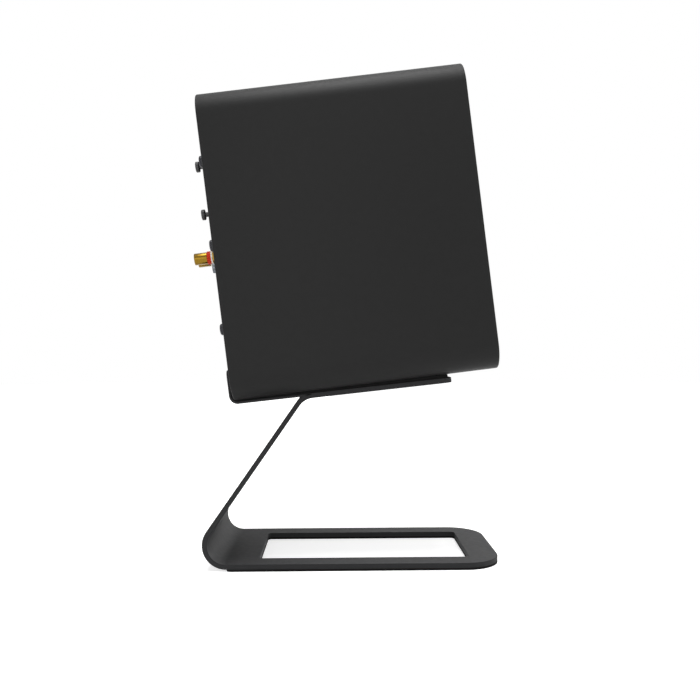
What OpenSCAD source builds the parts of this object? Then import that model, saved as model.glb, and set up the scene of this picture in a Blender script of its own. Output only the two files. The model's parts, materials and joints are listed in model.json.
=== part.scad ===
// Powered wireless desktop loudspeaker on a bent steel desk stand.
// Millimetres. +X is the way the speaker faces, +Z is up and Z = 0 is the desk.
// X = Y = 0 is the middle of the whole object's length and width.

/* [Cabinet] */
// Depth of the cabinet, rear face to front face
cab_d = 185; // [165:1:230]
// Width of the cabinet
cab_w = 137; // [124:1:170]
// Height of the cabinet
cab_h = 214; // [194:1:260]
// Radius of the four long edges
cab_r = 17.5; // [12:0.5:22]
// Softened rim round the front and rear faces
rim_r = 0.9; // [0.4:0.1:1.6]
// Wall thickness of the cabinet shell
wall = 6; // [5:0.5:8]
// Thickness of the front baffle
baffle_t = 9; // [8:0.5:14]
// Wall left round the baffle, in front of the ledge it sits on
baffle_rim = 3.5; // [3:0.25:4.5]
// Backward tilt of the cabinet
tilt = 6.9; // [3:0.1:11]
// Distance from the middle of the base back to the cabinet's lower rear corner
cab_back = 90.9; // [84:0.1:98]
// Height of the cabinet's lower rear corner above the desk
cab_lift = 118.8; // [100:0.1:150]

/* [Stand] */
// Length of the flat base
base_len = 194; // [170:1:230]
// Width of the stand
base_w = 109; // [90:1:125]
// Thickness of the steel sheet
steel_t = 3.5; // [3:0.1:5]
// Radius of the two front corners of the base
base_r = 26; // [10:1:40]
// Width of the rails beside the window in the base
rail_w = 17; // [12:0.5:24]
// Width of the bars in front of and behind the window
bar_w = 21.7; // [16:0.1:30]
// Corner radius of the window
window_r = 3; // [2:0.5:10]
// Inner radius of the bend between base and arm
bend_r = 13.3; // [8:0.1:20]
// Forward lean of the arm from upright
arm_lean = 34.9; // [26:0.1:40]
// Inner radius of the bend between arm and cradle plate
neck_r = 12.5; // [8:0.1:18]
// Slope of the cradle plate
plate_slope = 6.2; // [2.5:0.1:6.8]
// Reach of the cradle plate forward of the cabinet's rear face
plate_reach = 152.5; // [120:0.5:160]
// Corner radius of the cradle plate
plate_r = 6; // [2:0.5:15]
// Thickness of the rubber under the base
foot_t = 1.5; // [1:0.1:3]

/* [Hook and liner] */
// Thickness of the rear hook
hook_t = 1.8; // [1.2:0.1:2.2]
// Inner bend radius of the rear hook
hook_r = 4.2; // [3.4:0.1:5]
// Height of the hook's lip above the cabinet's lower edge
hook_h = 21.7; // [12:0.1:30]
// Corner radius of the lip
lip_r = 5; // [2:0.5:8]
// Thickness of the liner behind the cabinet
liner_back = 1.5; // [1.5:0.1:2.5]
// Thickness of the liner under the cabinet's rear edge
liner_rear = 0.6; // [0.6:0.1:1.6]
// Distance by which the liner stops short of the steel in front and above
liner_inset = 3; // [1:0.5:6]
// Distance by which the liner stops short of the steel at each side
liner_side = 0.5; // [0.2:0.1:3]
// Thread diameter of the cradle screws
cradle_screw_d = 5; // [4:1:6]
// Distance of the cradle screws from the cabinet's rear face
cradle_screw_x = 100; // [85:1:115]
// Spacing of the cradle screws across the stand
cradle_screw_gap = 64; // [40:1:80]

/* [Woofer] */
// Outer diameter of the woofer's frame
woofer_d = 100; // [94:1:106]
// Thickness of the woofer's flange
woofer_flange_t = 3.5; // [3:0.25:5]
// Diameter of the cone at its front edge
cone_d = 61; // [56:1:64]
// Depth of the cone
cone_depth = 19; // [15:0.5:22]
// Diameter of the voice coil's pole
pole_d = 25; // [22:0.5:26]
// Height of the woofer's frame behind the baffle's face
basket_depth = 41; // [40:0.5:46]
// Diameter of the woofer's magnet
magnet_d = 72; // [66:1:80]
// Height of the woofer's magnet
magnet_h = 14; // [10:0.5:20]
// Distance of the woofer's frame from the cabinet's lower face
woofer_margin = 14; // [10:0.5:18]
// Travel of the cone each way
cone_travel = 2.5; // [1.5:0.1:3]

/* [Tweeter] */
// Diameter of the tweeter's faceplate
tweeter_d = 66; // [62:1:72]
// Thickness of the tweeter's faceplate
tweeter_t = 4; // [3:0.25:5]
// Diameter of the dome
dome_d = 25; // [22:0.5:26]
// Distance of the faceplate from the cabinet's upper face
tweeter_margin = 14; // [10:0.5:16]

/* [Rear panel] */
// Width of the cabinet's rear face left at each side of the panel
panel_side = 4.5; // [3.5:0.25:5.5]
// Height of the cabinet's rear face left above the panel
panel_head = 36; // [32:0.5:42]
// Thickness of the rear panel
panel_t = 2; // [1.5:0.1:2.5]
// Thickness of the foam gasket under the panel
gasket_t = 1; // [0.6:0.1:1.4]
// Depth of the panel's face below the cabinet's rear face
panel_inset = 0.4; // [0.2:0.1:0.8]
// Height of the cabinet's rear face left below the panel
panel_lift = 38; // [34:1:42]
// Width of the border in which the panel rests on the cabinet at each side
border_side = 10; // [9:0.5:11]
// Width of the border above and below
border_end = 5; // [4:0.5:5.5]
// Distance of the buttons and the first input from the panel's side edge
control_side = 19; // [17.5:0.5:21]
// Distance of the upper button from the panel's upper edge
power_drop = 11.8; // [11.2:0.1:13]
// Height of the upper button above the lower one
button_gap = 33.9; // [28:0.1:36]
// Height of the lower button above the input jacks
input_drop = 30.5; // [26:0.1:32]
// Spacing of the two input jacks
input_gap = 15; // [14:0.5:20]
// Outer diameter of an input jack
jack_d = 8.3; // [8:0.05:8.6]
// Distance by which an input jack stands out
jack_reach = 16.4; // [14:0.1:18]
// Diameter of a button's head
button_d = 7.5; // [6:0.1:9]
// Distance by which a button stands out
button_reach = 7.7; // [6.5:0.1:9]
// Travel of a button
button_travel = 1.2; // [0.6:0.1:1.6]
// Inner diameter of the reflex port
port_d = 19; // [15:0.5:21]
// Length of the reflex port
port_len = 70; // [50:1:90]

/* [Amplifier] */
// Width of the amplifier board
board_w = 76; // [72:1:80]
// Height of the amplifier board
board_h = 98; // [92:1:102]
// Distance of the board from the rear panel
board_gap = 17.6; // [16:0.2:24]
// Number of fins on the heat sink
fins = 8; // [4:1:12]

/* [Hidden] */
$fn = 64;

// Running clearance of parts that slide in one another, and of parts that are only placed together
slide_gap = 0.4;
fit = 0.2;
// Amount by which a cut runs past a face, and the hair's breadth between faces that lie together
past = 1;
hair = 0.01;

charcoal = [0.18, 0.18, 0.18];
rubber = [0.09, 0.09, 0.09];
gold = [0.72, 0.55, 0.2];
steel = [0.7, 0.7, 0.72];

// ---- Places ----------------------------------------------------------------------------------

plate_drop = tilt - plate_slope;
foot_top = foot_t + steel_t;
panel_w = cab_w - 2 * panel_side;
panel_h = cab_h - panel_lift - panel_head;
panel_z = panel_lift + panel_h / 2;
panel_top = panel_lift + panel_h;
control_y = panel_w / 2 - control_side;
power_z = panel_h / 2 - power_drop;
pair_z = power_z - button_gap;
input_z = pair_z - input_drop;
jack_rear = jack_reach * cos(tilt) + (panel_z + input_z + jack_d / 2) * sin(tilt);
base_mid = (cab_back + jack_rear - base_len / 2) / 2;
base_front = base_mid + base_len / 2;
base_rear = base_mid - base_len / 2;
corner = [base_mid - cab_back, cab_lift];
plate_dir = [cos(plate_slope), sin(plate_slope)];
plate_down = [sin(plate_slope), -cos(plate_slope)];
cab_dir = [cos(tilt), sin(tilt)];
arm_dir = [sin(arm_lean), cos(arm_lean)];

// The arm's inner face runs from the lower bend up to the underside of the cradle plate
bend_centre = [base_rear, foot_top + bend_r];
arm_start = bend_centre + bend_r * [-cos(arm_lean), sin(arm_lean)];
plate_top = corner + liner_rear * [sin(tilt), -cos(tilt)];
plate_under = plate_top + steel_t * plate_down;
arm_full = ((plate_under - arm_start) * plate_down) / (arm_dir * plate_down);
neck_turn = 90 - arm_lean - plate_slope;
neck_cut = neck_r * tan(neck_turn / 2);
neck_corner = arm_start + arm_full * arm_dir;
plate_start = neck_corner + neck_cut * plate_dir;
plate_len = (corner + plate_reach * cab_dir - plate_start) * plate_dir;

// The hook is welded to the neck and turns up behind the cabinet
hook_turn = 90 - plate_drop;
hook_cut = hook_r * tan(hook_turn / 2);
hook_low = -liner_rear + liner_back * tan(plate_drop);
hook_corner = corner - liner_back * cab_dir + hook_low * [-sin(tilt), cos(tilt)];
hook_weld = plate_start - steel_t * plate_down;
hook_leg = (hook_weld - hook_corner) * plate_dir - hook_cut;
hook_lip = hook_h - hook_low - hook_cut;

// Middles of the things on the front and on the rear panel
woofer_z = woofer_margin + woofer_d / 2;
tweeter_z = cab_h - tweeter_margin - tweeter_d / 2;
port_z = (panel_top + cab_h - wall) / 2;
panel_face = -panel_inset;
panel_back = panel_face - panel_t;
board_face = panel_back - board_gap;
board_t = 1.6;

module in_cabinet() {
    translate([corner[0], 0, corner[1]]) rotate([0, -tilt, 0]) children();
}

// On the rear face, with local +Z pointing out of the back and local +X pointing up
module on_rear(y, z) {
    in_cabinet() translate([0, y, z]) rotate([0, -90, 0]) children();
}

// On the front face, with local +Z pointing forward and local -X pointing up
module on_front(z, y = 0) {
    in_cabinet() translate([cab_d, y, z]) rotate([0, 90, 0]) children();
}

// On the cradle plate's upper face, square to it
module on_cradle(y) {
    in_cabinet()
        translate([cradle_screw_x, y, -liner_rear - cradle_screw_x * tan(plate_drop)])
        rotate([0, plate_drop, 0]) children();
}

module on_panel(y, z) {
    on_rear(y, panel_z + z) children();
}

// ---- Shapes that repeat ----------------------------------------------------------------------

module rounded_rect(x, y, r) {
    square([x - 2 * r, y], center = true);
    square([x, y - 2 * r], center = true);
    for (sx = [-1, 1], sy = [-1, 1])
        translate([sx * (x / 2 - r), sy * (y / 2 - r)]) circle(r);
}

// Cabinet section turned into a bar that runs along +X from x = 0
module section_bar(len, inset) {
    translate([0, 0, cab_h / 2]) rotate([90, 0, 90])
        linear_extrude(len)
        rounded_rect(cab_w - 2 * inset, cab_h - 2 * inset, cab_r - inset);
}

// Sheet metal seen edge on. The sheet's inner face starts at p and heads the way h, with the
// sheet's thickness on its left, and each [length, inner radius, turn] runs straight and then
// bends to the right. A station is a point of the inner face with its heading.
function heading(h) = [cos(h), sin(h)];
function left_of(h) = [-sin(h), cos(h)];
function bend_steps(turn) = max(1, ceil(turn / 4));
function stations(path, p, h, i = 0) = i == len(path) ? [] : let (
        q = p + path[i][0] * heading(h),
        r = path[i][1],
        turn = path[i][2],
        steps = bend_steps(turn),
        bend = [for (k = [1:steps]) [q + r * (left_of(h - turn * k / steps) - left_of(h)), h - turn * k / steps]]
    ) concat(
        i == 0 ? [[p, h]] : [],
        [[q, h]],
        turn > 0 ? bend : [],
        turn > 0 ? stations(path, bend[steps - 1][0], h - turn, i + 1) : []
    );
function sheet_outline(t, path, p, h) = let (places = stations(path, p, h)) concat(
        [for (place = places) place[0]],
        [for (k = [len(places) - 1:-1:0]) places[k][0] + t * left_of(places[k][1])]
    );

// A profile in the X-Z plane extruded across the stand
module across(width) {
    rotate([90, 0, 0]) linear_extrude(width, center = true) children();
}

// Cuts that round off the corner at the origin of a plate whose body lies towards -X and -Y
module corner_cut(r, h) {
    difference() {
        translate([-r, -r, 0]) cube([r + past, r + past, h]);
        translate([-r, -r, -past]) cylinder(r = r, h = h + 2 * past);
    }
}

module ring(r_out, r_in, h) {
    difference() {
        cylinder(r = r_out, h = h);
        translate([0, 0, -past]) cylinder(r = r_in, h = h + 2 * past);
    }
}

// Four or more copies round a circle
module around(count, r, start = 45) {
    for (k = [0:count - 1]) rotate(start + 360 * k / count) translate([r, 0, 0]) children();
}

// Screw with its head seated at z = 0 and its shank running down
module pan_screw(d, head_d, head_h, len, key_d) {
    difference() {
        union() {
            rotate_extrude() pan_head(head_d, head_h);
            translate([0, 0, -len]) cylinder(d = d, h = len + 0.1);
        }
        translate([0, 0, head_h * 0.45]) cylinder(d = key_d, h = head_h, $fn = 6);
    }
}

module pan_head(d, h) {
    edge = h * 0.45;
    square([d / 2 - edge, h]);
    square([d / 2, h - edge]);
    translate([d / 2 - edge, h - edge]) intersection() {
        circle(edge);
        square(edge);
    }
}

// ---- Stand -----------------------------------------------------------------------------------

base_path = [
    [base_len, bend_r, 90 + arm_lean],
    [arm_full - neck_cut, neck_r, neck_turn],
    [plate_len, 0, 0]
];

module stand_profile() {
    polygon(sheet_outline(steel_t, base_path, [base_front, foot_top], 180));
}

module base_window(h) {
    translate([base_mid, 0, 0]) linear_extrude(h)
        rounded_rect(base_len - 2 * bar_w, base_w - 2 * rail_w, window_r);
}

module base_corners(h) {
    for (s = [-1, 1]) translate([base_front, s * base_w / 2, 0])
        mirror_y(s) corner_cut(base_r, h);
}

module mirror_y(s) {
    if (s < 0) mirror([0, 1, 0]) children();
    else children();
}

module stand_frame() {
    color(charcoal) difference() {
        across(base_w) stand_profile();
        translate([0, 0, -past]) base_window(foot_top + 2 * past);
        base_corners(foot_top + past);
        for (s = [-1, 1])
            plate_end() translate([0, s * base_w / 2, -past])
                mirror_y(s) corner_cut(plate_r, steel_t + 2 * past);
        for (s = [-1, 1]) on_cradle(s * cradle_screw_gap / 2) cradle_screw_hole();
    }
}

// At the front end of the cradle plate, on its underside
module plate_end() {
    tip = plate_start + plate_len * plate_dir;
    translate([tip[0], 0, tip[1]]) rotate([0, -plate_slope, 0]) children();
}

// Countersunk hole through the plate, and the screw that fills it
csk_d = 1.9 * cradle_screw_d;
csk_h = 0.45 * csk_d - 0.45 * cradle_screw_d;

module cradle_screw_hole() {
    translate([0, 0, -steel_t - past]) cylinder(d = cradle_screw_d + fit, h = steel_t + 2 * past);
    translate([0, 0, -steel_t]) cylinder(d1 = csk_d + fit, d2 = cradle_screw_d + fit, h = csk_h + fit);
    translate([0, 0, -steel_t - past]) cylinder(d = csk_d + fit, h = past);
}

module cradle_screws() {
    depth = insert_start + insert_len - 0.5;
    color(steel) for (s = [-1, 1]) on_cradle(s * cradle_screw_gap / 2) difference() {
        union() {
            translate([0, 0, -steel_t]) cylinder(d1 = csk_d, d2 = cradle_screw_d, h = csk_h);
            translate([0, 0, -steel_t]) cylinder(d = cradle_screw_d, h = steel_t + depth);
        }
        translate([0, 0, -steel_t - past]) cylinder(d = cradle_screw_d * 0.6, h = past + 1.8, $fn = 6);
    }
}

module hook_profile() {
    path = [[hook_leg, hook_r, hook_turn], [hook_lip, 0, 0]];
    difference() {
        polygon(sheet_outline(hook_t, path, hook_weld, 180 + plate_slope));
        stand_profile();
    }
}

module rear_hook() {
    color(charcoal) difference() {
        across(base_w) hook_profile();
        for (s = [-1, 1]) lip_corner(s);
    }
}

// Rounds the two upper corners of the hook's lip
module lip_corner(s) {
    in_cabinet() translate([-liner_back - hook_t - past, s * base_w / 2, hook_h])
        rotate([90, 0, 90]) mirror_x(s) corner_cut(lip_r, hook_t + 2 * past);
}

module mirror_x(s) {
    if (s < 0) mirror([1, 0, 0]) children();
    else children();
}

module cradle_liner() {
    front = plate_reach - liner_inset;
    color(rubber) difference() {
        across(base_w - 2 * liner_side) difference() {
            translate(corner) rotate(tilt) polygon([
                [-liner_back, hook_low + hair], [-liner_back, hook_h - liner_inset],
                [0, hook_h - liner_inset], [0, 0], [front, 0],
                [front, -liner_rear - front * tan(plate_drop) + hair]
            ]);
            hook_profile();
        }
        for (s = [-1, 1]) on_cradle(s * cradle_screw_gap / 2)
            translate([0, 0, -past]) cylinder(d = cradle_screw_d + fit, h = 4 * past + 3 * liner_rear);
    }
}

module base_pad() {
    color(rubber) difference() {
        translate([base_rear, -base_w / 2, 0]) cube([base_len, base_w, foot_t]);
        translate([0, 0, -past]) base_window(foot_t + 2 * past);
        translate([0, 0, -past]) base_corners(foot_t + 2 * past);
        for (s = [-1, 1]) translate([base_rear, s * base_w / 2, -past]) rotate(180)
            mirror_y(-s) corner_cut(window_r, foot_t + 2 * past);
    }
}

// ---- Cabinet ---------------------------------------------------------------------------------

// The outer body: long edges of radius cab_r, and every rim round the two ends softened
module cabinet_body() {
    rotate([90, 0, 0]) linear_extrude(cab_w - 2 * cab_r, center = true)
        translate([cab_d / 2, cab_h / 2]) rounded_rect(cab_d, cab_h, rim_r);
    translate([0, 0, cab_r]) linear_extrude(cab_h - 2 * cab_r)
        translate([cab_d / 2, 0]) rounded_rect(cab_d, cab_w, rim_r);
    for (s = [-1, 1], z = [cab_r, cab_h - cab_r])
        translate([0, s * (cab_w / 2 - cab_r), z]) rotate([0, 90, 0]) rotate_extrude()
            long_edge_profile();
}

module long_edge_profile() {
    square([cab_r - rim_r, cab_d]);
    translate([0, rim_r]) square([cab_r, cab_d - 2 * rim_r]);
    for (z = [rim_r, cab_d - rim_r]) translate([cab_r - rim_r, z]) circle(rim_r);
}

panel_seat = panel_inset + panel_t + gasket_t;
screw_y = panel_w / 2 - border_side / 2 + 0.5;
screw_row = panel_h / 2 - 12;
screw_rows = [-screw_row, 0, screw_row];
panel_screw_d = 4;

module cabinet_shell() {
    color(charcoal) difference() {
        in_cabinet() difference() {
            cabinet_body();
            translate([wall, 0, 0]) section_bar(cab_d, wall);
            translate([cab_d - baffle_t, 0, 0]) section_bar(baffle_t + past, baffle_rim);
            rear_opening();
        }
        for (s = [-1, 1]) on_cradle(s * cradle_screw_gap / 2) insert_hole();
    }
}

// Rebate for the panel, the hole behind it, the screw holes and the mouth of the port
module rear_opening() {
    translate([-past, 0, panel_z]) rotate([90, 0, 90]) {
        linear_extrude(past + panel_seat) rounded_rect(panel_w + 2 * fit, panel_h + 2 * fit, 6);
        linear_extrude(past + wall + past)
            rounded_rect(panel_w - 2 * border_side, panel_h - 2 * border_end, 4);
    }
    for (s = [-1, 1], z = screw_rows) translate([-past, s * screw_y, panel_z + z])
        rotate([0, 90, 0]) cylinder(d = panel_screw_d, h = past + wall + past);
    translate([-past, 0, port_z]) rotate([0, 90, 0]) {
        cylinder(r = port_tube_r, h = past + wall + past);
        cylinder(r = port_flange_r, h = past + port_flange_t);
    }
}

insert_d = cradle_screw_d + 3;
insert_start = liner_rear + cradle_screw_x * tan(plate_drop) + 0.3;
insert_len = wall - 1;

module insert_hole() {
    translate([0, 0, insert_start - 2 * past]) cylinder(d = insert_d, h = insert_len + 2 * past);
}

module cradle_inserts() {
    color(gold) for (s = [-1, 1]) on_cradle(s * cradle_screw_gap / 2)
        translate([0, 0, insert_start]) ring(insert_d / 2, cradle_screw_d / 2, insert_len);
}

module front_baffle() {
    color(charcoal) difference() {
        in_cabinet() translate([cab_d - baffle_t, 0, 0]) section_bar(baffle_t, baffle_rim + fit);
        on_front(woofer_z) {
            translate([0, 0, -woofer_flange_t]) cylinder(d = woofer_d + 2 * fit, h = woofer_flange_t + past);
            translate([0, 0, -baffle_t - past]) cylinder(r = cage_r + fit, h = baffle_t + past);
            around(4, woofer_screw_r) translate([0, 0, -baffle_t - past])
                cylinder(d = woofer_screw_d, h = baffle_t);
        }
        on_front(tweeter_z) {
            translate([0, 0, -tweeter_t]) cylinder(d = tweeter_d + 2 * fit, h = tweeter_t + past);
            translate([0, 0, -baffle_t - past]) cylinder(r = throat_flange_r + fit, h = baffle_t + past);
            around(4, tweeter_screw_r) translate([0, 0, -baffle_t - past])
                cylinder(d = tweeter_screw_d, h = baffle_t);
        }
        on_front(lens_z, lens_y) translate([0, 0, -baffle_t - past]) cylinder(d = lens_d, h = baffle_t + 2 * past);
    }
}

// Two sheets of wadding, one on the inside of each side wall, clear of the amplifier
wadding_start = 50;

module wadding() {
    t = 5;
    start = wall + wadding_start;
    color([0.4, 0.4, 0.42]) in_cabinet() for (s = [-1, 1])
        translate([start, s * (cab_w / 2 - wall - t / 2) - t / 2, cab_r + 2])
        cube([cab_d - baffle_t - 12 - start, t, cab_h - 2 * cab_r - 4]);
}

port_wall = 2;
port_tube_r = port_d / 2 + port_wall;
port_flange_r = port_tube_r + 1.5;
port_flange_t = 1.5;

module port_tube() {
    flare = 2;
    color(rubber) on_rear(0, port_z) difference() {
        union() {
            translate([0, 0, -port_flange_t]) cylinder(r = port_flange_r, h = port_flange_t);
            translate([0, 0, -port_len]) cylinder(r = port_tube_r, h = port_len);
        }
        translate([0, 0, -port_len - past]) cylinder(d = port_d, h = port_len + 2 * past);
        rotate_extrude() difference() {
            translate([0, -flare]) square([port_d / 2 + flare, flare + past]);
            translate([port_d / 2 + flare, -flare]) circle(flare);
        }
    }
}

// ---- Woofer, with z = 0 at the baffle's face --------------------------------------------------

cage_r = woofer_d / 2 - 8;
cage_wall = 1.8;
seat_r = magnet_d / 2 - 4;
ledge_z = -basket_depth + 7.5;
cone_r = cone_d / 2;
land_r = cage_r + 1.2;
land_in = cage_r - 3.2;
land_z = -2;
cage_z = -10;
lip_t = 0.8;
woofer_screw_d = 3.5;
woofer_screw_r = woofer_d / 2 - 3.4;
top_plate_t = 4;
former_in = pole_d / 2 + slide_gap;
former_out = former_in + 0.3;
coil_out = former_out + 0.35;
gap_r = coil_out + slide_gap;
motor_z = -basket_depth;
spider_r = seat_r - 2.3;
neck_z = land_z - cone_depth;

// Frame seen from the front: the flange, the land under the surround and the ring behind them
module woofer_basket() {
    color([0.13, 0.13, 0.14]) on_front(woofer_z) difference() {
        rotate_extrude() polygon([
            [woofer_d / 2, 0], [woofer_d / 2, -woofer_flange_t], [cage_r, -woofer_flange_t],
            [cage_r, cage_z], [cage_r - cage_wall, cage_z], [cage_r - cage_wall, -woofer_flange_t],
            [land_in, -woofer_flange_t], [land_in, land_z],
            [land_r, land_z], [land_r, 0]
        ]);
        around(4, woofer_screw_r) translate([0, 0, -woofer_flange_t - past])
            cylinder(d = woofer_screw_d + fit, h = woofer_flange_t + 2 * past);
    }
}

// Spoked cage from the frame down to the seat of the motor, with the ledge for the spider
module woofer_cage() {
    seat_t = 2;
    color([0.13, 0.13, 0.14]) on_front(woofer_z) difference() {
        rotate_extrude() polygon([
            [cage_r, cage_z], [seat_r, ledge_z + 3], [seat_r, motor_z],
            [gap_r + 1.5, motor_z], [gap_r + 1.5, motor_z + seat_t],
            [seat_r - cage_wall, motor_z + seat_t], [seat_r - cage_wall, ledge_z - 1.5],
            [seat_r - 6.5, ledge_z - 1.5], [seat_r - 6.5, ledge_z],
            [seat_r - cage_wall, ledge_z], [seat_r - cage_wall, ledge_z + 3],
            [cage_r - cage_wall, cage_z]
        ]);
        cage_windows();
    }
}

// Six windows between the spokes of the cage
module cage_windows() {
    spoke = 12;
    low = ledge_z + 3.5;
    high = cage_z - 2.5;
    reach = 2 * cage_r;
    for (k = [0:5]) rotate(60 * k + 30) intersection() {
        translate([0, 0, low]) ring(cage_r + past, seat_r - cage_wall - 3, high - low);
        translate([0, 0, low]) linear_extrude(high - low)
            polygon([[8, 0], [reach, -reach * tan(30 - spoke / 2)], [reach, reach * tan(30 - spoke / 2)]]);
    }
}

module woofer_trim_ring() {
    color(rubber) on_front(woofer_z) translate([0, 0, land_z + lip_t])
        ring(land_r - 0.1, land_in + 0.8, 1.6);
}

module woofer_screws() {
    color([0.1, 0.1, 0.1]) on_front(woofer_z) around(4, woofer_screw_r)
        pan_screw(woofer_screw_d, 6.4, 2, woofer_flange_t + baffle_t, 2.6);
}

module woofer_top_plate() {
    color(steel) on_front(woofer_z) translate([0, 0, motor_z - top_plate_t])
        ring(seat_r, gap_r, top_plate_t);
}

module woofer_magnet() {
    color([0.2, 0.2, 0.21]) on_front(woofer_z)
        translate([0, 0, motor_z - top_plate_t - magnet_h]) ring(magnet_d / 2, gap_r + 6, magnet_h);
}

module woofer_yoke() {
    vent_r = 4;
    back_t = 5;
    back_z = motor_z - top_plate_t - magnet_h;
    color(steel) on_front(woofer_z) difference() {
        union() {
            translate([0, 0, back_z - back_t]) cylinder(r = magnet_d / 2 - 3, h = back_t);
            translate([0, 0, back_z - past]) cylinder(d = pole_d, h = magnet_h + top_plate_t + past);
        }
        translate([0, 0, back_z - back_t - past]) cylinder(r = vent_r, h = 60);
    }
}

// Corrugated cloth disc between the voice coil's former and the ledge in the cage
module woofer_spider() {
    t = 0.6;
    waves = 3;
    rim = seat_r - 6.5;
    neck = former_out + 1.8;
    steps = waves * 8;
    function wave_z(k) = ledge_z + 1.1 * (1 - cos(360 * k * waves / steps)) * (k < steps ? 1 : 0);
    function wave_r(k) = neck + (rim - neck) * k / steps;
    color([0.75, 0.6, 0.25]) on_front(woofer_z) rotate_extrude() polygon(concat(
        [[former_out, ledge_z]],
        [for (k = [0:steps]) [wave_r(k), wave_z(k)]],
        [[spider_r, ledge_z], [spider_r, ledge_z + t]],
        [for (k = [steps:-1:0]) [wave_r(k), wave_z(k) + t]],
        [[former_out, ledge_z + t]]
    ));
}

// Half roll of rubber from the cone's edge to the land in the frame
module woofer_surround() {
    roll_r = (land_in + 0.4 - cone_r) / 2;
    inner_lip = 3;
    color(rubber) on_front(woofer_z) rotate_extrude() translate([0, land_z]) {
        translate([cone_r - inner_lip, 0]) square([inner_lip + 0.4, lip_t]);
        translate([land_in, 0]) square([land_r - 0.1 - land_in, lip_t]);
        translate([cone_r + roll_r, 0]) difference() {
            circle(roll_r);
            circle(roll_r - lip_t);
            translate([-2 * roll_r, -4 * roll_r]) square(4 * roll_r);
        }
    }
}

// The cone's upper face: steep at the neck and flatter towards the edge
function cone_z(k) = neck_z + cone_depth * pow(k, 0.75);
function cone_x(k) = former_out + (cone_r - former_out) * k;

module woofer_cone() {
    t = 0.9;
    steps = 10;
    color([0.12, 0.12, 0.13]) on_front(woofer_z) rotate_extrude() polygon(concat(
        [for (k = [0:steps]) [cone_x(k / steps), cone_z(k / steps)]],
        [for (k = [steps:-1:0]) [cone_x(k / steps), cone_z(k / steps) - t]]
    ));
}

module woofer_dust_cap() {
    share = 0.16;
    rise = 6;
    t = 0.6;
    r = cone_x(share);
    ball = (r * r + rise * rise) / (2 * rise);
    color(rubber) on_front(woofer_z) rotate_extrude()
        translate([0, cone_z(share) + rise - ball]) intersection() {
            difference() {
                circle(ball, $fn = 128);
                circle(ball - t, $fn = 128);
            }
            translate([0, ball - rise]) square([ball, rise + past]);
        }
}

module woofer_voice_coil() {
    winding = 10;
    top = neck_z + 0.5;
    bottom = motor_z - top_plate_t / 2 - winding / 2;
    color([0.65, 0.4, 0.2]) on_front(woofer_z) {
        translate([0, 0, bottom - 1]) ring(former_out, former_in, top - bottom + 1);
        translate([0, 0, bottom]) ring(coil_out, former_out, winding);
    }
}

// ---- Tweeter, with z = 0 at the baffle's face --------------------------------------------------

dome_r = dome_d / 2 + 0.1;
throat_r = dome_r + 4;
throat_z = -6.2;
throat_flange_r = tweeter_d / 2 - 7;
dome_z = -10;
tw_lip_t = 0.4;
tw_screw_inset = 3.6;
tweeter_screw_d = 3;
tweeter_screw_r = tweeter_d / 2 - tw_screw_inset;
tw_plate_top = dome_z;
tw_plate_t = 3.5;
tw_pole_r = dome_r - 0.8;
tw_former_in = tw_pole_r + slide_gap;
tw_gap_r = dome_r + slide_gap;
tw_magnet_r = tweeter_d / 2 - 11;
tw_magnet_h = 9;

module tweeter_faceplate() {
    mouth = throat_flange_r - throat_r - 1;
    steps = 12;
    color([0.13, 0.13, 0.14]) on_front(tweeter_z) difference() {
        rotate_extrude() polygon(concat(
            [[tweeter_d / 2, 0], [tweeter_d / 2, -tweeter_t], [throat_flange_r, -tweeter_t],
             [throat_flange_r, dome_z + tw_lip_t], [throat_r, dome_z + tw_lip_t]],
            [for (k = [0:steps])
                [throat_r + mouth * (1 - cos(90 * k / steps)), throat_z - throat_z * sin(90 * k / steps)]]
        ));
        around(4, tweeter_screw_r) translate([0, 0, -tweeter_t - past])
            cylinder(d = tweeter_screw_d + fit, h = tweeter_t + 2 * past);
    }
}

module tweeter_screws() {
    color([0.1, 0.1, 0.1]) on_front(tweeter_z) around(4, tweeter_screw_r)
        pan_screw(tweeter_screw_d, 5.4, 1.8, baffle_t + 2, 2.2);
}

module tweeter_top_plate() {
    color(steel) on_front(tweeter_z) rotate_extrude() polygon([
        [tw_magnet_r, tw_plate_top], [tw_magnet_r, tw_plate_top - tw_plate_t],
        [tw_gap_r, tw_plate_top - tw_plate_t], [tw_gap_r, tw_plate_top - 1.5],
        [throat_r, tw_plate_top - 1.5], [throat_r, tw_plate_top]
    ]);
}

module tweeter_magnet() {
    color([0.2, 0.2, 0.21]) on_front(tweeter_z)
        translate([0, 0, tw_plate_top - tw_plate_t - tw_magnet_h])
        ring(tw_magnet_r, tw_gap_r + 2, tw_magnet_h);
}

module tweeter_yoke() {
    back_t = 4;
    back_z = tw_plate_top - tw_plate_t - tw_magnet_h;
    color(steel) on_front(tweeter_z) {
        translate([0, 0, back_z - back_t]) cylinder(r = tw_magnet_r - 1, h = back_t);
        translate([0, 0, back_z - past]) cylinder(r = tw_pole_r, h = tw_magnet_h + tw_plate_t + past - 1);
    }
}

module tweeter_surround() {
    roll_r = (throat_r - 0.6 - dome_r) / 2;
    color([0.12, 0.12, 0.12]) on_front(tweeter_z) rotate_extrude() translate([0, dome_z]) {
        translate([throat_r - 0.8, 0]) square([2.4, tw_lip_t]);
        translate([dome_r + roll_r, 0]) difference() {
            circle(roll_r);
            circle(roll_r - tw_lip_t);
            translate([-2 * roll_r, -4 * roll_r]) square(4 * roll_r);
        }
    }
}

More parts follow.
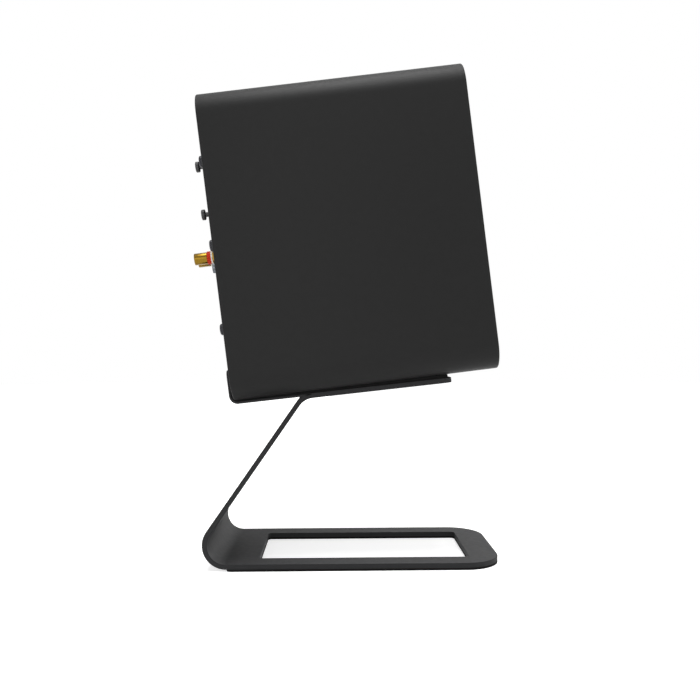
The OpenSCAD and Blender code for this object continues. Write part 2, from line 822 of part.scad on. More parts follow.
module tweeter_dome() {
    rise = 5.5;
    t = 0.4;
    ball = (dome_r * dome_r + rise * rise) / (2 * rise);
    color([0.14, 0.14, 0.15]) on_front(tweeter_z) rotate_extrude()
        translate([0, dome_z + rise - ball]) intersection() {
            difference() {
                circle(ball, $fn = 128);
                circle(ball - t, $fn = 128);
            }
            translate([0, ball - rise]) square([ball, rise + past]);
        }
}

module tweeter_voice_coil() {
    depth = 4.5;
    color([0.65, 0.4, 0.2]) on_front(tweeter_z) translate([0, 0, dome_z - depth])
        ring(dome_r, tw_former_in, depth);
}

// ---- Status light ------------------------------------------------------------------------------

lens_d = 3;
lens_y = cab_w / 2 - 20;
lens_z = 16;

module status_lens() {
    color([0.85, 0.85, 0.85]) on_front(lens_z, lens_y) translate([0, 0, -baffle_t])
        cylinder(d = lens_d, h = baffle_t + 0.3);
}

module led_board() {
    color([0.1, 0.25, 0.15]) on_front(lens_z, lens_y) translate([-4, -6, -baffle_t - 1.6])
        cube([8, 12, 1.6]);
}

// ---- Rear panel and what it carries ------------------------------------------------------------

jack_y = [-control_y, -control_y + input_gap];
jack_thread_r = jack_d / 2 - 0.65;
button_stem_r = 1.7;
bush_r = 3.2;
ground_y = -control_y - 5;
ground_z = input_z - 8.5;
ground_stud_r = 1.5;
socket_rise = 26;
socket_z = socket_rise - panel_h / 2;
dc_y = 30;
dc_r = 5.5;
dc_depth = 9.5;
usb_y = 6;
link_y = -12;
link_r = 7;
link_depth = 9;

module rear_panel() {
    color([0.15, 0.15, 0.15]) on_panel(0, 0) difference() {
        translate([0, 0, panel_back]) linear_extrude(panel_t) rounded_rect(panel_h, panel_w, 6 - fit);
        translate([0, 0, panel_back - past]) panel_holes(panel_t + 2 * past);
    }
}

module panel_holes(h) {
    for (s = [-1, 1], z = screw_rows) translate([z, s * screw_y]) cylinder(d = panel_screw_d + fit, h = h);
    for (z = [power_z, pair_z]) translate([z, -control_y]) cylinder(r = bush_r + fit / 2, h = h);
    for (y = jack_y) translate([input_z, y]) cylinder(r = jack_thread_r + fit / 2, h = h);
    translate([ground_z, ground_y]) cylinder(r = ground_stud_r + fit / 2, h = h);
    translate([socket_z, dc_y]) cylinder(r = dc_r + fit / 2, h = h);
    translate([socket_z, link_y]) cylinder(r = link_r + fit / 2, h = h);
    translate([socket_z, usb_y]) linear_extrude(h) rounded_rect(3.3 + fit, 9 + fit, 1.6);
    for (p = standoff_places) translate(p) cylinder(d = 3 + fit, h = h);
}

module panel_gasket() {
    color(rubber) on_panel(0, 0) translate([0, 0, panel_back - gasket_t]) difference() {
        linear_extrude(gasket_t) difference() {
            rounded_rect(panel_h, panel_w, 6 - fit);
            rounded_rect(panel_h - 2 * border_end, panel_w - 2 * border_side, 4);
        }
        for (s = [-1, 1], z = screw_rows) translate([z, s * screw_y, -past])
            cylinder(d = panel_screw_d + fit, h = gasket_t + 2 * past);
    }
}

module panel_screws() {
    color([0.1, 0.1, 0.1]) for (s = [-1, 1], z = screw_rows) on_panel(s * screw_y, z)
        translate([0, 0, panel_face]) pan_screw(panel_screw_d, 8, 3.1, panel_t + gasket_t + wall, 3.2);
}

// Mushroom button: a head outside, and a stem whose collar is held inside the switch
collar_z = panel_back - 1.5 - 0.3;

module push_button() {
    head_t = 2.7;
    edge = 0.6;
    stem_end = collar_z - 4;
    rotate_extrude() {
        translate([0, stem_end]) square([button_stem_r, button_reach - head_t + 0.2 - stem_end]);
        translate([0, collar_z - 1]) square([3, 1]);
        translate([0, button_reach - head_t]) {
            square([button_d / 2 - edge, head_t]);
            translate([0, edge]) square([button_d / 2, head_t - 2 * edge]);
            for (z = [edge, head_t - edge]) translate([button_d / 2 - edge, z]) circle(edge);
        }
    }
}

// Switch body behind the panel, with its threaded bush and the ring nut outside
module push_switch() {
    size = 11.4;
    cavity_end = collar_z - 4 - button_travel - 1;
    difference() {
        union() {
            translate([-size / 2, -size / 2, cavity_end - 1.5]) cube([size, size, panel_back - cavity_end + 1.5]);
            translate([0, 0, panel_back - 0.1]) cylinder(r = bush_r, h = panel_t + 1.3);
            translate([0, 0, panel_face]) cylinder(r = bush_r + 1.8, h = 1.2);
        }
        translate([0, 0, cavity_end]) cylinder(r = button_stem_r + slide_gap, h = 40);
        translate([0, 0, cavity_end]) cylinder(r = 3 + slide_gap, h = panel_back - 1.5 - cavity_end);
    }
}

module power_button() {
    color([0.1, 0.1, 0.1]) on_panel(-control_y, power_z) push_button();
}

module power_switch() {
    color([0.2, 0.2, 0.2]) on_panel(-control_y, power_z) push_switch();
}

module pairing_button() {
    color([0.1, 0.1, 0.1]) on_panel(-control_y, pair_z) push_button();
}

module pairing_switch() {
    color([0.2, 0.2, 0.2]) on_panel(-control_y, pair_z) push_switch();
}

// Input jack: hex flange, insulating washer, coloured ring and barrel, from the panel outwards
barrel_z = jack_reach - 9.1;
ring_z = barrel_z - 2.8;
washer_z = ring_z - 1.1;
waist_r = jack_d / 2 - 0.95;
jack_tail = panel_back - 7;
barrel_bore = jack_d / 2 - 0.65;
core_r = 2.4;

module rca_jacks() {
    color(gold) for (y = jack_y) on_panel(y, input_z) difference() {
        union() {
            translate([0, 0, barrel_z]) cylinder(d = jack_d, h = jack_reach - barrel_z);
            translate([0, 0, washer_z - 0.1]) cylinder(r = waist_r, h = barrel_z - washer_z + 0.2);
            translate([0, 0, panel_face]) cylinder(r = 5.6, h = washer_z - panel_face, $fn = 6);
            translate([0, 0, jack_tail]) cylinder(r = jack_thread_r, h = washer_z - jack_tail);
        }
        translate([0, 0, jack_tail - past]) cylinder(r = core_r, h = 40);
        translate([0, 0, barrel_z + 1]) cylinder(r = barrel_bore, h = 20);
    }
}

module jack_ring() {
    translate([0, 0, ring_z]) ring(jack_d / 2 + 0.45, waist_r, barrel_z - ring_z);
}

module rca_ring_red() {
    color([0.84, 0.3, 0.16]) on_panel(jack_y[0], input_z) jack_ring();
}

module rca_ring_white() {
    color([0.9, 0.9, 0.88]) on_panel(jack_y[1], input_z) jack_ring();
}

module rca_washers() {
    color([0.85, 0.83, 0.78]) for (y = jack_y) on_panel(y, input_z)
        translate([0, 0, washer_z]) ring(jack_d / 2 + 0.9, waist_r, ring_z - washer_z);
}

module rca_insulators() {
    plug_r = 1.65;
    color([0.93, 0.93, 0.9]) for (y = jack_y) on_panel(y, input_z) difference() {
        union() {
            translate([0, 0, jack_tail - 3]) cylinder(r = core_r, h = barrel_z + 1.5 - jack_tail + 3);
            translate([0, 0, barrel_z + 1]) cylinder(r = barrel_bore, h = jack_reach - barrel_z - 2);
        }
        translate([0, 0, jack_reach - 14]) cylinder(r = plug_r, h = 20);
    }
}

module rca_nuts() {
    color(gold) for (y = jack_y) on_panel(y, input_z) translate([0, 0, panel_back - 2.2])
        difference() {
            cylinder(r = 5.4, h = 2.2, $fn = 6);
            translate([0, 0, -past]) cylinder(r = jack_thread_r, h = 2.2 + 2 * past);
        }
}

module ground_post() {
    color(steel) on_panel(ground_y, ground_z) {
        translate([0, 0, panel_back - 4]) cylinder(r = ground_stud_r, h = 7);
        translate([0, 0, panel_face]) cylinder(r = 3.4, h = 0.8);
        translate([0, 0, panel_face + 0.8]) cylinder(r = 3.2, h = 3.6);
        translate([0, 0, panel_back - 1.8]) cylinder(r = 2.9, h = 1.8, $fn = 6);
    }
}

module dc_socket() {
    color([0.2, 0.2, 0.2]) on_panel(dc_y, socket_z) difference() {
        union() {
            translate([0, 0, panel_face]) cylinder(r = dc_r + 1.2, h = 1.2);
            translate([0, 0, -dc_depth - 2.5]) cylinder(r = dc_r, h = dc_depth + 2.5);
            translate([0, 0, panel_back - 2]) cylinder(r = dc_r + 2, h = 2, $fn = 6);
        }
        translate([0, 0, -dc_depth]) cylinder(r = 2.8, h = dc_depth + 3);
    }
}

module usb_socket() {
    depth = 7;
    color(steel) on_panel(usb_y, socket_z) {
        translate([0, 0, -depth]) difference() {
            linear_extrude(depth + panel_face) rounded_rect(3.3, 9, 1.5);
            translate([0, 0, 0.8]) linear_extrude(depth + past) rounded_rect(2.6, 8.3, 1.2);
        }
        translate([-0.35, -3.3, -depth + 0.4]) cube([0.7, 6.6, depth - 1.8]);
        translate([-4, -7, -depth - 1.6]) cube([8, 14, 1.6]);
    }
}

module link_socket() {
    color([0.2, 0.2, 0.2]) on_panel(link_y, socket_z) difference() {
        union() {
            translate([0, 0, panel_face]) cylinder(r = link_r + 1.2, h = 1);
            translate([0, 0, -link_depth - 2]) cylinder(r = link_r, h = link_depth + 2);
            translate([0, 0, panel_back - 2]) cylinder(r = link_r + 1.6, h = 2, $fn = 6);
        }
        translate([0, 0, -link_depth]) cylinder(r = link_r - 1.6, h = link_depth + past);
    }
}

// Contact pins that stand on the floors of the two round sockets
module socket_pins() {
    color(gold) {
        on_panel(dc_y, socket_z) translate([0, 0, -dc_depth]) cylinder(r = 1.05, h = dc_depth - 0.8);
        on_panel(link_y, socket_z) around(4, 2.8)
            translate([0, 0, -link_depth]) cylinder(r = 0.6, h = link_depth - 2);
    }
}

// ---- Amplifier -----------------------------------------------------------------------------------

board_shift = 8;
standoff_places = [for (sx = [-1, 1], sy = [-1, 1])
    [sx * (board_h / 2 - 4), board_shift + sy * (board_w / 2 - 4)]];

module standoffs() {
    color(gold) on_panel(0, 0) for (p = standoff_places) translate([p[0], p[1], board_face])
        difference() {
            cylinder(r = 3, h = board_gap, $fn = 6);
            translate([0, 0, -past]) cylinder(r = 1.25, h = 8);
            translate([0, 0, board_gap - 6]) cylinder(r = 1.25, h = 8);
        }
}

module amp_board() {
    color([0.08, 0.22, 0.14]) on_panel(0, 0) difference() {
        translate([-board_h / 2, board_shift - board_w / 2, board_face - board_t])
            cube([board_h, board_w, board_t]);
        for (p = standoff_places) translate([p[0], p[1], board_face - board_t - past])
            cylinder(r = 1.6, h = board_t + 2 * past);
    }
}

// Short screws hold the standoffs to the panel and the board to the standoffs
module board_screws() {
    color(steel) on_panel(0, 0) for (p = standoff_places) translate([p[0], p[1], 0]) {
        translate([0, 0, panel_face]) pan_screw(2.5, 5, 1.6, panel_t + 5, 1.6);
        translate([0, 0, board_face - board_t]) rotate([180, 0, 0]) pan_screw(2.5, 5, 1.6, board_t + 6, 1.6);
    }
}

// Parts on the board stand on its inner face and grow forward, into the cabinet
module on_board(x, y) {
    on_panel(0, 0) translate([x, y + board_shift, board_face - board_t]) rotate([180, 0, 0]) children();
}

module heat_sink() {
    sink_h = 50;
    sink_w = 32;
    foot = 3;
    fin_t = 1.2;
    fin_step = (sink_w - fin_t) / (fins - 1);
    color([0.55, 0.56, 0.58]) on_board(-16, 18) {
        translate([-sink_h / 2, -sink_w / 2, 0]) cube([sink_h, sink_w, foot]);
        for (k = [0:fins - 1]) translate([-sink_h / 2, -sink_w / 2 + k * fin_step, 0])
            cube([sink_h, fin_t, 18]);
    }
}

module capacitors() {
    color([0.12, 0.14, 0.3]) for (k = [0:2]) on_board(13 - board_h / 2 + 15 * k, -24) {
        cylinder(r = 6.3, h = 19);
        translate([0, 0, 19]) cylinder(r = 5.4, h = 0.8);
    }
}

module inductors() {
    color([0.6, 0.35, 0.15]) for (k = [0:1]) on_board(board_h / 2 - 9 - 17 * k, 22)
        translate([0, 0, 3.2]) rotate_extrude() translate([4.8, 0]) circle(3.2);
}

module wireless_module() {
    color([0.1, 0.2, 0.3]) on_board(board_h / 2 - 19, -22) {
        translate([-12, -9, 0]) cube([24, 18, 1]);
        translate([-10, -7.5, 1]) cube([15, 15, 2.2]);
    }
}

// Aerial strip stuck to the inside of the cabinet's top
aerial_size = [42, 9, 0.8];
aerial_place = [66, 22];

module antenna() {
    color([0.1, 0.1, 0.1]) in_cabinet()
        translate([aerial_place[0], aerial_place[1], cab_h - wall - aerial_size[2]])
        cube(aerial_size);
}

// ---- Output -------------------------------------------------------------------------------------

stand_frame();
rear_hook();
cradle_liner();
base_pad();
cradle_screws();
cabinet_shell();
cradle_inserts();
front_baffle();
wadding();
port_tube();
woofer_basket();
woofer_cage();
woofer_trim_ring();
woofer_screws();
woofer_top_plate();
woofer_magnet();
woofer_yoke();
woofer_spider();
woofer_surround();
woofer_cone();
woofer_dust_cap();
woofer_voice_coil();
tweeter_faceplate();
tweeter_screws();
tweeter_top_plate();
tweeter_magnet();
tweeter_yoke();
tweeter_surround();
tweeter_dome();
tweeter_voice_coil();
status_lens();
led_board();
rear_panel();
panel_gasket();
panel_screws();
power_button();
power_switch();
pairing_button();
pairing_switch();
rca_jacks();
rca_ring_red();
rca_ring_white();
rca_washers();
rca_insulators();
rca_nuts();
ground_post();
dc_socket();
usb_socket();
link_socket();
socket_pins();
standoffs();
amp_board();
board_screws();
heat_sink();
capacitors();
inductors();
wireless_module();
antenna();
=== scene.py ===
# %% [markdown]
# # A powered wireless loudspeaker on its desk stand
#
# The object is a small two-way loudspeaker with its amplifier and wireless receiver in the back.
# It leans back on a stand that is cut from one sheet of steel and bent twice.
# Its shapes come from a CAD model, which is loaded here as a frame that can't be moved. This
# script gives the frame its looks: turned, bent and bevelled pieces made with bmesh operators,
# and a finish for each real material.
# Blender works in metres. The sizes below are in millimetres, as a drawing gives them.

# %% Load the CAD frame
import json
import math

import bmesh
import bpy
from mathutils import Euler, Matrix, Vector

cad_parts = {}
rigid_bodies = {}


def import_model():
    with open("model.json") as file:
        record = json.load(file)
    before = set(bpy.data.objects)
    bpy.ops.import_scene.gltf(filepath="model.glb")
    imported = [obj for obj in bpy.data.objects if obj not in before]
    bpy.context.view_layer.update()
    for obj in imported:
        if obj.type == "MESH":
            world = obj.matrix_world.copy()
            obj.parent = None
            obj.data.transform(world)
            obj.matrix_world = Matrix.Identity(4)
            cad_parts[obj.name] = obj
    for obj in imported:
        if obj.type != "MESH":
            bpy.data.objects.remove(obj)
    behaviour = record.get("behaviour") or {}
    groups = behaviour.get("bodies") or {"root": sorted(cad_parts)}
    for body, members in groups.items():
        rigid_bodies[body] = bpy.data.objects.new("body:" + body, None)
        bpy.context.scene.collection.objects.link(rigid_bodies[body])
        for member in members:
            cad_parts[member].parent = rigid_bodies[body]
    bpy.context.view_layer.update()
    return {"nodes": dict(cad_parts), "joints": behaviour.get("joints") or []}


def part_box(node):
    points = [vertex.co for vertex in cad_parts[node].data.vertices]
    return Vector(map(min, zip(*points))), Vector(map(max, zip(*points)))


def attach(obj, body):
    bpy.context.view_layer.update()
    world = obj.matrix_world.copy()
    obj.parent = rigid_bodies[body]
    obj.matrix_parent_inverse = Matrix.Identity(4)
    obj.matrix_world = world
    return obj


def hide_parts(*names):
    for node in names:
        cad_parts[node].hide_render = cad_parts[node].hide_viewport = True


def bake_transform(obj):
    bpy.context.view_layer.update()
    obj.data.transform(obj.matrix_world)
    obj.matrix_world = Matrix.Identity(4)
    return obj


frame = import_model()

MM = 0.001
scene = bpy.context.scene

# %% [markdown]
# ## Camera
#
# The view is from the speaker's right side, a little above the cabinet's lower edge, so the
# top of the base shows and the top of the cabinet doesn't. The camera stands 0.6 m away with
# a 40 mm lens, which is close enough for the near side to look a quarter larger than the far
# side. It looks along +Y, but for a slight pitch, roll and yaw.

# %% Camera
eye = (-0.00907, -0.59834, 0.15604)
pitch, roll, yaw = 89.777, 0.172, -1.060
camera = bpy.data.objects.new("camera", bpy.data.cameras.new("camera"))
scene.collection.objects.link(camera)
camera.data.sensor_width = 36
camera.data.lens = 40.22
camera.location = eye
camera.rotation_euler = Euler([math.radians(a) for a in (pitch, roll, yaw)], "XYZ")
scene.camera = camera
scene.view_settings.view_transform = "Standard"
print("camera:", round(camera.data.lens, 2), "mm lens,", round(-eye[1], 2), "m from the middle")

# %% [markdown]
# ## Nodes and colours
#
# Every finish is a small node graph. One function adds a node, sets its options and its
# sockets, and links what is given as another node's output. A second one turns the sRGB hex
# colours that painters use into the linear numbers that the shader wants.

# %% Helpers for materials


def linear(colour):
    """Linear RGBA of an sRGB hex colour such as #2D2D2D."""
    channels = [int(colour[i:i + 2], 16) / 255 for i in (1, 3, 5)]
    return [c / 12.92 if c <= 0.04045 else ((c + 0.055) / 1.055) ** 2.4 for c in channels] + [1.0]


def add(tree, kind, sockets=None, **options):
    """Adds a node. A socket's value is a number, a colour or another node's output."""
    made = tree.nodes.new(kind)
    for name, value in options.items():
        setattr(made, name, value)
    for name, value in (sockets or {}).items():
        if isinstance(value, bpy.types.NodeSocket):
            tree.links.new(value, made.inputs[name])
        else:
            made.inputs[name].default_value = value
    return made


print("mid grey #808080 is", round(linear("#808080")[0], 3), "linear")

# %% [markdown]
# ## World
#
# A dark object on white is lit by its surroundings, and a white room shows in its edges. So
# the world has two strengths. It shows as 1, which is white, to the camera and in anything
# that mirrors or transmits. The soft light that it gives is weaker, because the lamps do most
# of the lighting.

# %% What is seen directly
WHITE = linear("#FFFFFF")


def seen_directly(tree):
    """1 for a ray from the camera, a mirror or glass, and 0 for one that gathers soft light."""
    ray = add(tree, "ShaderNodeLightPath").outputs
    camera_or_mirror = add(tree, "ShaderNodeMath", {0: ray["Is Camera Ray"], 1: ray["Is Glossy Ray"]},
                           operation="MAXIMUM").outputs[0]
    return add(tree, "ShaderNodeMath", {0: camera_or_mirror, 1: ray["Is Transmission Ray"]},
               operation="MAXIMUM").outputs[0]


# %% World
given, shown = 0.36, 1.0
world = bpy.data.worlds.new("studio")
scene.world = world
world.use_nodes = True
sky = world.node_tree
sky.nodes.clear()
seen = seen_directly(sky)
room = add(sky, "ShaderNodeBackground", {"Color": WHITE, "Strength": given}).outputs[0]
white = add(sky, "ShaderNodeBackground", {"Color": WHITE, "Strength": shown}).outputs[0]
both = add(sky, "ShaderNodeMixShader", {0: seen, 1: room, 2: white}).outputs[0]
add(sky, "ShaderNodeOutputWorld", {"Surface": both})
print("the world gives", given, "and shows as", shown)

# %% [markdown]
# ## Floor
#
# The floor is a disc of pale paper. Where it is seen directly, a little light is added to it,
# so that it reads as white where it is lit and still keeps the object's soft shadow. Less
# lamp light falls far from the object, so more is added there, and no edge or horizon shows.

# %% Floor
floor_radius = 3.0
near, far = 0.25, 1.2
near_lift, far_lift = 0.62, 0.8
floor_mesh = bpy.data.meshes.new("floor")
bm = bmesh.new()
bmesh.ops.create_circle(bm, cap_ends=True, cap_tris=False, segments=96, radius=floor_radius)
bm.to_mesh(floor_mesh)
bm.free()
floor = bpy.data.objects.new("floor", floor_mesh)
scene.collection.objects.link(floor)
print("floor:", [round(d, 2) for d in floor.dimensions], "m")

# %% Paper of the floor
paper = bpy.data.materials.new("white_studio_paper")
paper.use_nodes = True
tree = paper.node_tree
tree.nodes.clear()
seen = seen_directly(tree)
lit = add(tree, "ShaderNodeBsdfDiffuse", {"Color": linear("#E4E4E4")}).outputs[0]
from_middle = add(tree, "ShaderNodeVectorMath", {0: add(tree, "ShaderNodeTexCoord").outputs["Object"]},
                  operation="LENGTH").outputs["Value"]
strength = add(tree, "ShaderNodeMapRange", {"Value": from_middle, "From Min": near, "From Max": far,
                                            "To Min": near_lift, "To Max": far_lift}).outputs["Result"]
lift = add(tree, "ShaderNodeEmission", {"Color": WHITE, "Strength": strength}).outputs[0]
lifted = add(tree, "ShaderNodeAddShader", {0: lit, 1: lift}).outputs[0]
surface = add(tree, "ShaderNodeMixShader", {0: seen, 1: lit, 2: lifted}).outputs[0]
add(tree, "ShaderNodeOutputMaterial", {"Surface": surface})
floor_mesh.materials.append(paper)
print("paper nodes:", len(tree.nodes))

# %% [markdown]
# ## Lights
#
# A big soft lamp hangs overhead, and a fill stands at each side, in front and behind, each
# of the four about 1.8 m away. The side fills are large and low, so the flat sides show an
# even tone. The front and rear fills stand higher, and shade the curved top and the bends of
# the stand.

# %% Lights
middle = Vector((0, 0, 0.17))


def softbox(name, size, watts, place):
    """A square area light that faces the middle of the object."""
    lamp = bpy.data.objects.new(name, bpy.data.lights.new(name, "AREA"))
    lamp.data.size = size
    lamp.data.energy = watts
    lamp.location = place
    lamp.rotation_euler = (middle - Vector(place)).to_track_quat("-Z", "Y").to_euler()
    scene.collection.objects.link(lamp)


softbox("overhead", 0.9, 25, (0.0, -0.25, 1.45))
softbox("right_fill", 1.2, 8.5, (-0.5, -1.7, 0.3))
softbox("left_fill", 1.2, 8.5, (0.5, 1.7, 0.3))
softbox("front_fill", 1.0, 11, (1.7, -0.3, 0.55))
softbox("rear_fill", 1.0, 7, (-1.7, 0.3, 0.8))
lamps = [o for o in scene.objects if o.type == "LIGHT"]
print("lights:", len(lamps), "of", sum(lamp.data.energy for lamp in lamps), "W together")

# %% [markdown]
# ## How a finish is built
#
# A real surface is never one flat value. Each finish starts from the Principled shader with
# the colour, roughness and metallic of its material, and then gets up to three layers of
# noise: a mottle that shifts the colour, a polish that shifts the roughness, and a grain that
# raises and lowers the surface. The patterns read Object coordinates, lean back with the
# cabinet, and are divided by a real size in a Mapping node of the Texture kind, so a grain of
# 0.6 is 0.6 mm. Grain and threads finer than about 0.5 mm would blur to nothing at this
# distance, so they are drawn as coarse as it takes to show, and the comments below say where.

# %% Patterns at a real size
stroke = next(joint["axis"] for joint in frame["joints"] if joint["name"] == "woofer_stroke")
tilt = math.atan2(stroke[2], stroke[0])


def cells(tree, size):
    """Places counted in cells of this size in mm, or (x, y, z) mm in the cabinet's own directions."""
    cell = size if isinstance(size, tuple) else (size, size, size)
    here = add(tree, "ShaderNodeTexCoord").outputs["Object"]
    sockets = {"Vector": here, "Rotation": (0, -tilt, 0), "Scale": [c * MM for c in cell]}
    return add(tree, "ShaderNodeMapping", sockets, vector_type="TEXTURE").outputs["Vector"]


def pattern(tree, size, detail):
    """A cloudy pattern from 0 to 1 whose features are this size in mm."""
    sockets = {"Vector": cells(tree, size), "Scale": 1.0, "Detail": detail}
    return add(tree, "ShaderNodeTexNoise", sockets).outputs["Fac"]


def threads(tree, spacing, way):
    """Threads side by side: the height of a round thread every spacing mm along the way X, Y or Z."""
    across = add(tree, "ShaderNodeSeparateXYZ", {0: cells(tree, spacing)}).outputs["XYZ".index(way)]
    turns = add(tree, "ShaderNodeMath", {0: across, 1: math.pi}, operation="MULTIPLY").outputs[0]
    wave = add(tree, "ShaderNodeMath", {0: turns}, operation="SINE").outputs[0]
    return add(tree, "ShaderNodeMath", {0: wave}, operation="ABSOLUTE").outputs[0]


print("cabinet tilt", round(math.degrees(tilt), 2), "degrees")

# %% One function for all finishes


def finish(name, colour, roughness, metallic=0.0, mottle=None, polish=None, grain=None, weave=None, **shader):
    """A material. mottle is (colour, mm), polish is (roughness change, mm), grain is (height mm, mm)
    and weave is (height mm, spacing mm, the two ways of its threads)."""
    made = bpy.data.materials.new(name)
    made.use_nodes = True
    made.diffuse_color = linear(colour)
    tree = made.node_tree
    base = tree.nodes["Principled BSDF"]
    base.inputs["Base Color"].default_value = linear(colour)
    base.inputs["Roughness"].default_value = roughness
    base.inputs["Metallic"].default_value = metallic
    for socket, value in shader.items():
        base.inputs[socket.replace("_", " ")].default_value = value
    if mottle:
        second_colour, size = mottle
        mix = add(tree, "ShaderNodeMix", {"Factor": pattern(tree, size, 4.0)}, data_type="RGBA")
        first, second = [s for s in mix.inputs if s.type == "RGBA"]
        first.default_value = linear(colour)
        second.default_value = linear(second_colour)
        mixed = next(s for s in mix.outputs if s.type == "RGBA")
        tree.links.new(mixed, base.inputs["Base Color"])
    if polish:
        # Noise seldom leaves 0.3 to 0.7, so that range is stretched to the whole change.
        change, size = polish
        spread = add(tree, "ShaderNodeMapRange", {"Value": pattern(tree, size, 3.0), "From Min": 0.3,
                                                  "From Max": 0.7, "To Min": roughness - change,
                                                  "To Max": roughness + change})
        tree.links.new(spread.outputs["Result"], base.inputs["Roughness"])
    if grain:
        height, size = grain
        relief = add(tree, "ShaderNodeBump", {"Height": pattern(tree, size, 2.0), "Strength": 1.0,
                                              "Distance": height * MM}).outputs["Normal"]
        tree.links.new(relief, base.inputs["Normal"])
    if weave:
        height, spacing, ways = weave
        cloth = add(tree, "ShaderNodeMath", {i: threads(tree, spacing, way) for i, way in enumerate(ways)},
                    operation="MAXIMUM").outputs[0]
        relief = add(tree, "ShaderNodeBump", {"Height": cloth, "Strength": 1.0,
                                              "Distance": height * MM}).outputs["Normal"]
        tree.links.new(relief, base.inputs["Normal"])
    return made


print("materials before the finishes:", len(bpy.data.materials))

# %% [markdown]
# ## Paints and lacquers
#
# The cabinet is fibreboard with a matt polyurethane lacquer. The stand is powder coated,
# which bakes to a coarser, duller skin. Matt paints throw back little light straight on and
# much more at a grazing angle, which is what draws the long edges. The drivers' frames are
# enamelled.

# %% Paints and lacquers
# Sprayed: nearly black, with a faint orange peel about 2 mm across.
lacquer = finish("matt_polyurethane_lacquer", "#181818", 0.53, mottle=("#1A1A1A", 5), polish=(0.02, 4),
                 grain=(0.006, 1.8), Specular_IOR_Level=0.13)
# Baked powder: a shade lighter and duller, with a dimpled skin. Its 0.3 mm dimples are drawn
# at 0.9 mm.
powder = finish("black_powder_coat", "#262627", 0.66, mottle=("#2A2A2B", 4), polish=(0.03, 3),
                grain=(0.03, 0.9), Specular_IOR_Level=0.12)
# Satin enamel on pressed steel: smooth, with a broad soft gloss.
enamel = finish("satin_black_enamel", "#18181A", 0.42, mottle=("#1C1C1E", 16), polish=(0.04, 12),
                grain=(0.01, 1.2), Specular_IOR_Level=0.4)
print("paints:", lacquer.name, powder.name, enamel.name)

# %% [markdown]
# ## Rubbers
#
# Sheet rubber is rolled and has no gloss. Butyl is pressed in a polished mould, so it is
# smoother and catches a little light. Both pick up dust, which is their mottle.

# %% Rubbers
# EPDM sheet under the base and behind the cabinet: dull and very dark.
epdm = finish("epdm_rubber_sheet", "#0C0C0C", 0.9, mottle=("#111111", 6), polish=(0.05, 5),
              grain=(0.03, 0.8), Specular_IOR_Level=0.12)
# The woofer's surround: a soft shine along the crown of the roll.
butyl = finish("butyl_rubber", "#121213", 0.5, mottle=("#17171A", 9), polish=(0.08, 7), grain=(0.008, 1.0))
print("rubbers:", epdm.name, butyl.name)

# %% [markdown]
# ## Plastics
#
# Moulds for ABS, PBT and nylon are spark eroded, which leaves an even fine grain of about 0.1 mm
# on the part. It is drawn at 0.5 mm here. The colour goes all through a moulding, so it varies
# little. Sleeves, films and light pipes are smoother and glossier.

# %% Plastics
# ABS for the driver plate, the port and the buttons: an even satin.
abs_black = finish("moulded_abs_black", "#141415", 0.48, mottle=("#18181A", 10), polish=(0.05, 8),
                   grain=(0.012, 0.5))
# PBT for the sockets: harder, so a little glossier.
pbt_black = finish("moulded_pbt_black", "#161617", 0.4, mottle=("#1B1B1C", 4), polish=(0.06, 3),
                   grain=(0.01, 0.5))
# Dyed nylon for the ring of the first input: a warm red with little gloss.
nylon_red = finish("moulded_nylon_red", "#C8320F", 0.5, mottle=("#B82C0C", 2), polish=(0.06, 2),
                   grain=(0.01, 0.5), Specular_IOR_Level=0.15)
# Nylon without dye: pale and slightly waxy, since some light goes into it.
nylon_white = finish("natural_nylon", "#E9E4D6", 0.45, mottle=("#DDD6C4", 2), polish=(0.06, 2),
                     grain=(0.01, 0.5), Subsurface_Weight=0.1)
# PVC sleeves on the capacitors: shrunk tight by heat, so they shine.
pvc_blue = finish("pvc_shrink_sleeve", "#16224F", 0.28, mottle=("#1B2A5C", 4), polish=(0.05, 3),
                  grain=(0.01, 1.2))
# Acrylic light pipe, frosted on its face: it lets light in and shows nothing behind it.
acrylic = finish("frosted_acrylic", "#E6EBEF", 0.35, mottle=("#D9E0E6", 1), polish=(0.08, 1),
                 grain=(0.005, 0.4), Transmission_Weight=0.55)
# Cast polyester film of the aerial: glossy, with a slow waviness.
pet_film = finish("pet_film_black", "#151516", 0.22, mottle=("#1A1A1C", 5), polish=(0.05, 4),
                  grain=(0.01, 4))
print("materials so far:", len(bpy.data.materials))

# %% [markdown]
# ## Metals and ferrite
#
# A bare metal shows its surroundings in its own colour, so its look comes from how it was
# made. Turning and plating leave a fine haze, and brushing or extruding leaves lines along
# one way, so those patterns are stretched. Such lines are about 0.1 mm apart, and drawn
# coarser. Anodised aluminium is dyed in its oxide skin, which behaves as a dark plastic.

# %% Bare metals
# Thin gold over turned brass, on the input jacks: nearly a mirror. Its colour is painted darker than gold, as
# painted shade for the dark surroundings that it would reflect.
gold = finish("gold_plate_with_painted_shade", "#7A6122", 0.24, 1.0, mottle=("#6A511A", 3), polish=(0.05, 2),
              grain=(0.002, 0.6))
# Turned brass without a plate: lighter, with faint tool marks.
brass = finish("turned_brass", "#C6A04E", 0.34, 1.0, mottle=("#B48C3E", 4), polish=(0.08, 2),
               grain=(0.004, 0.5))
# Screws that are blackened in a hot oxide bath: dark, with a dull metal shine.
oxide = finish("black_oxide_steel", "#2B2B2D", 0.42, 1.0, mottle=("#353538", 3), polish=(0.1, 2),
               grain=(0.01, 0.7))
# Barrel-plated zinc, coloured darker than fresh zinc: a bluish mid grey.
zinc = finish("dark_zinc_plate", "#66696D", 0.36, 1.0, mottle=("#5A5D61", 4), polish=(0.08, 3),
              grain=(0.006, 0.8))
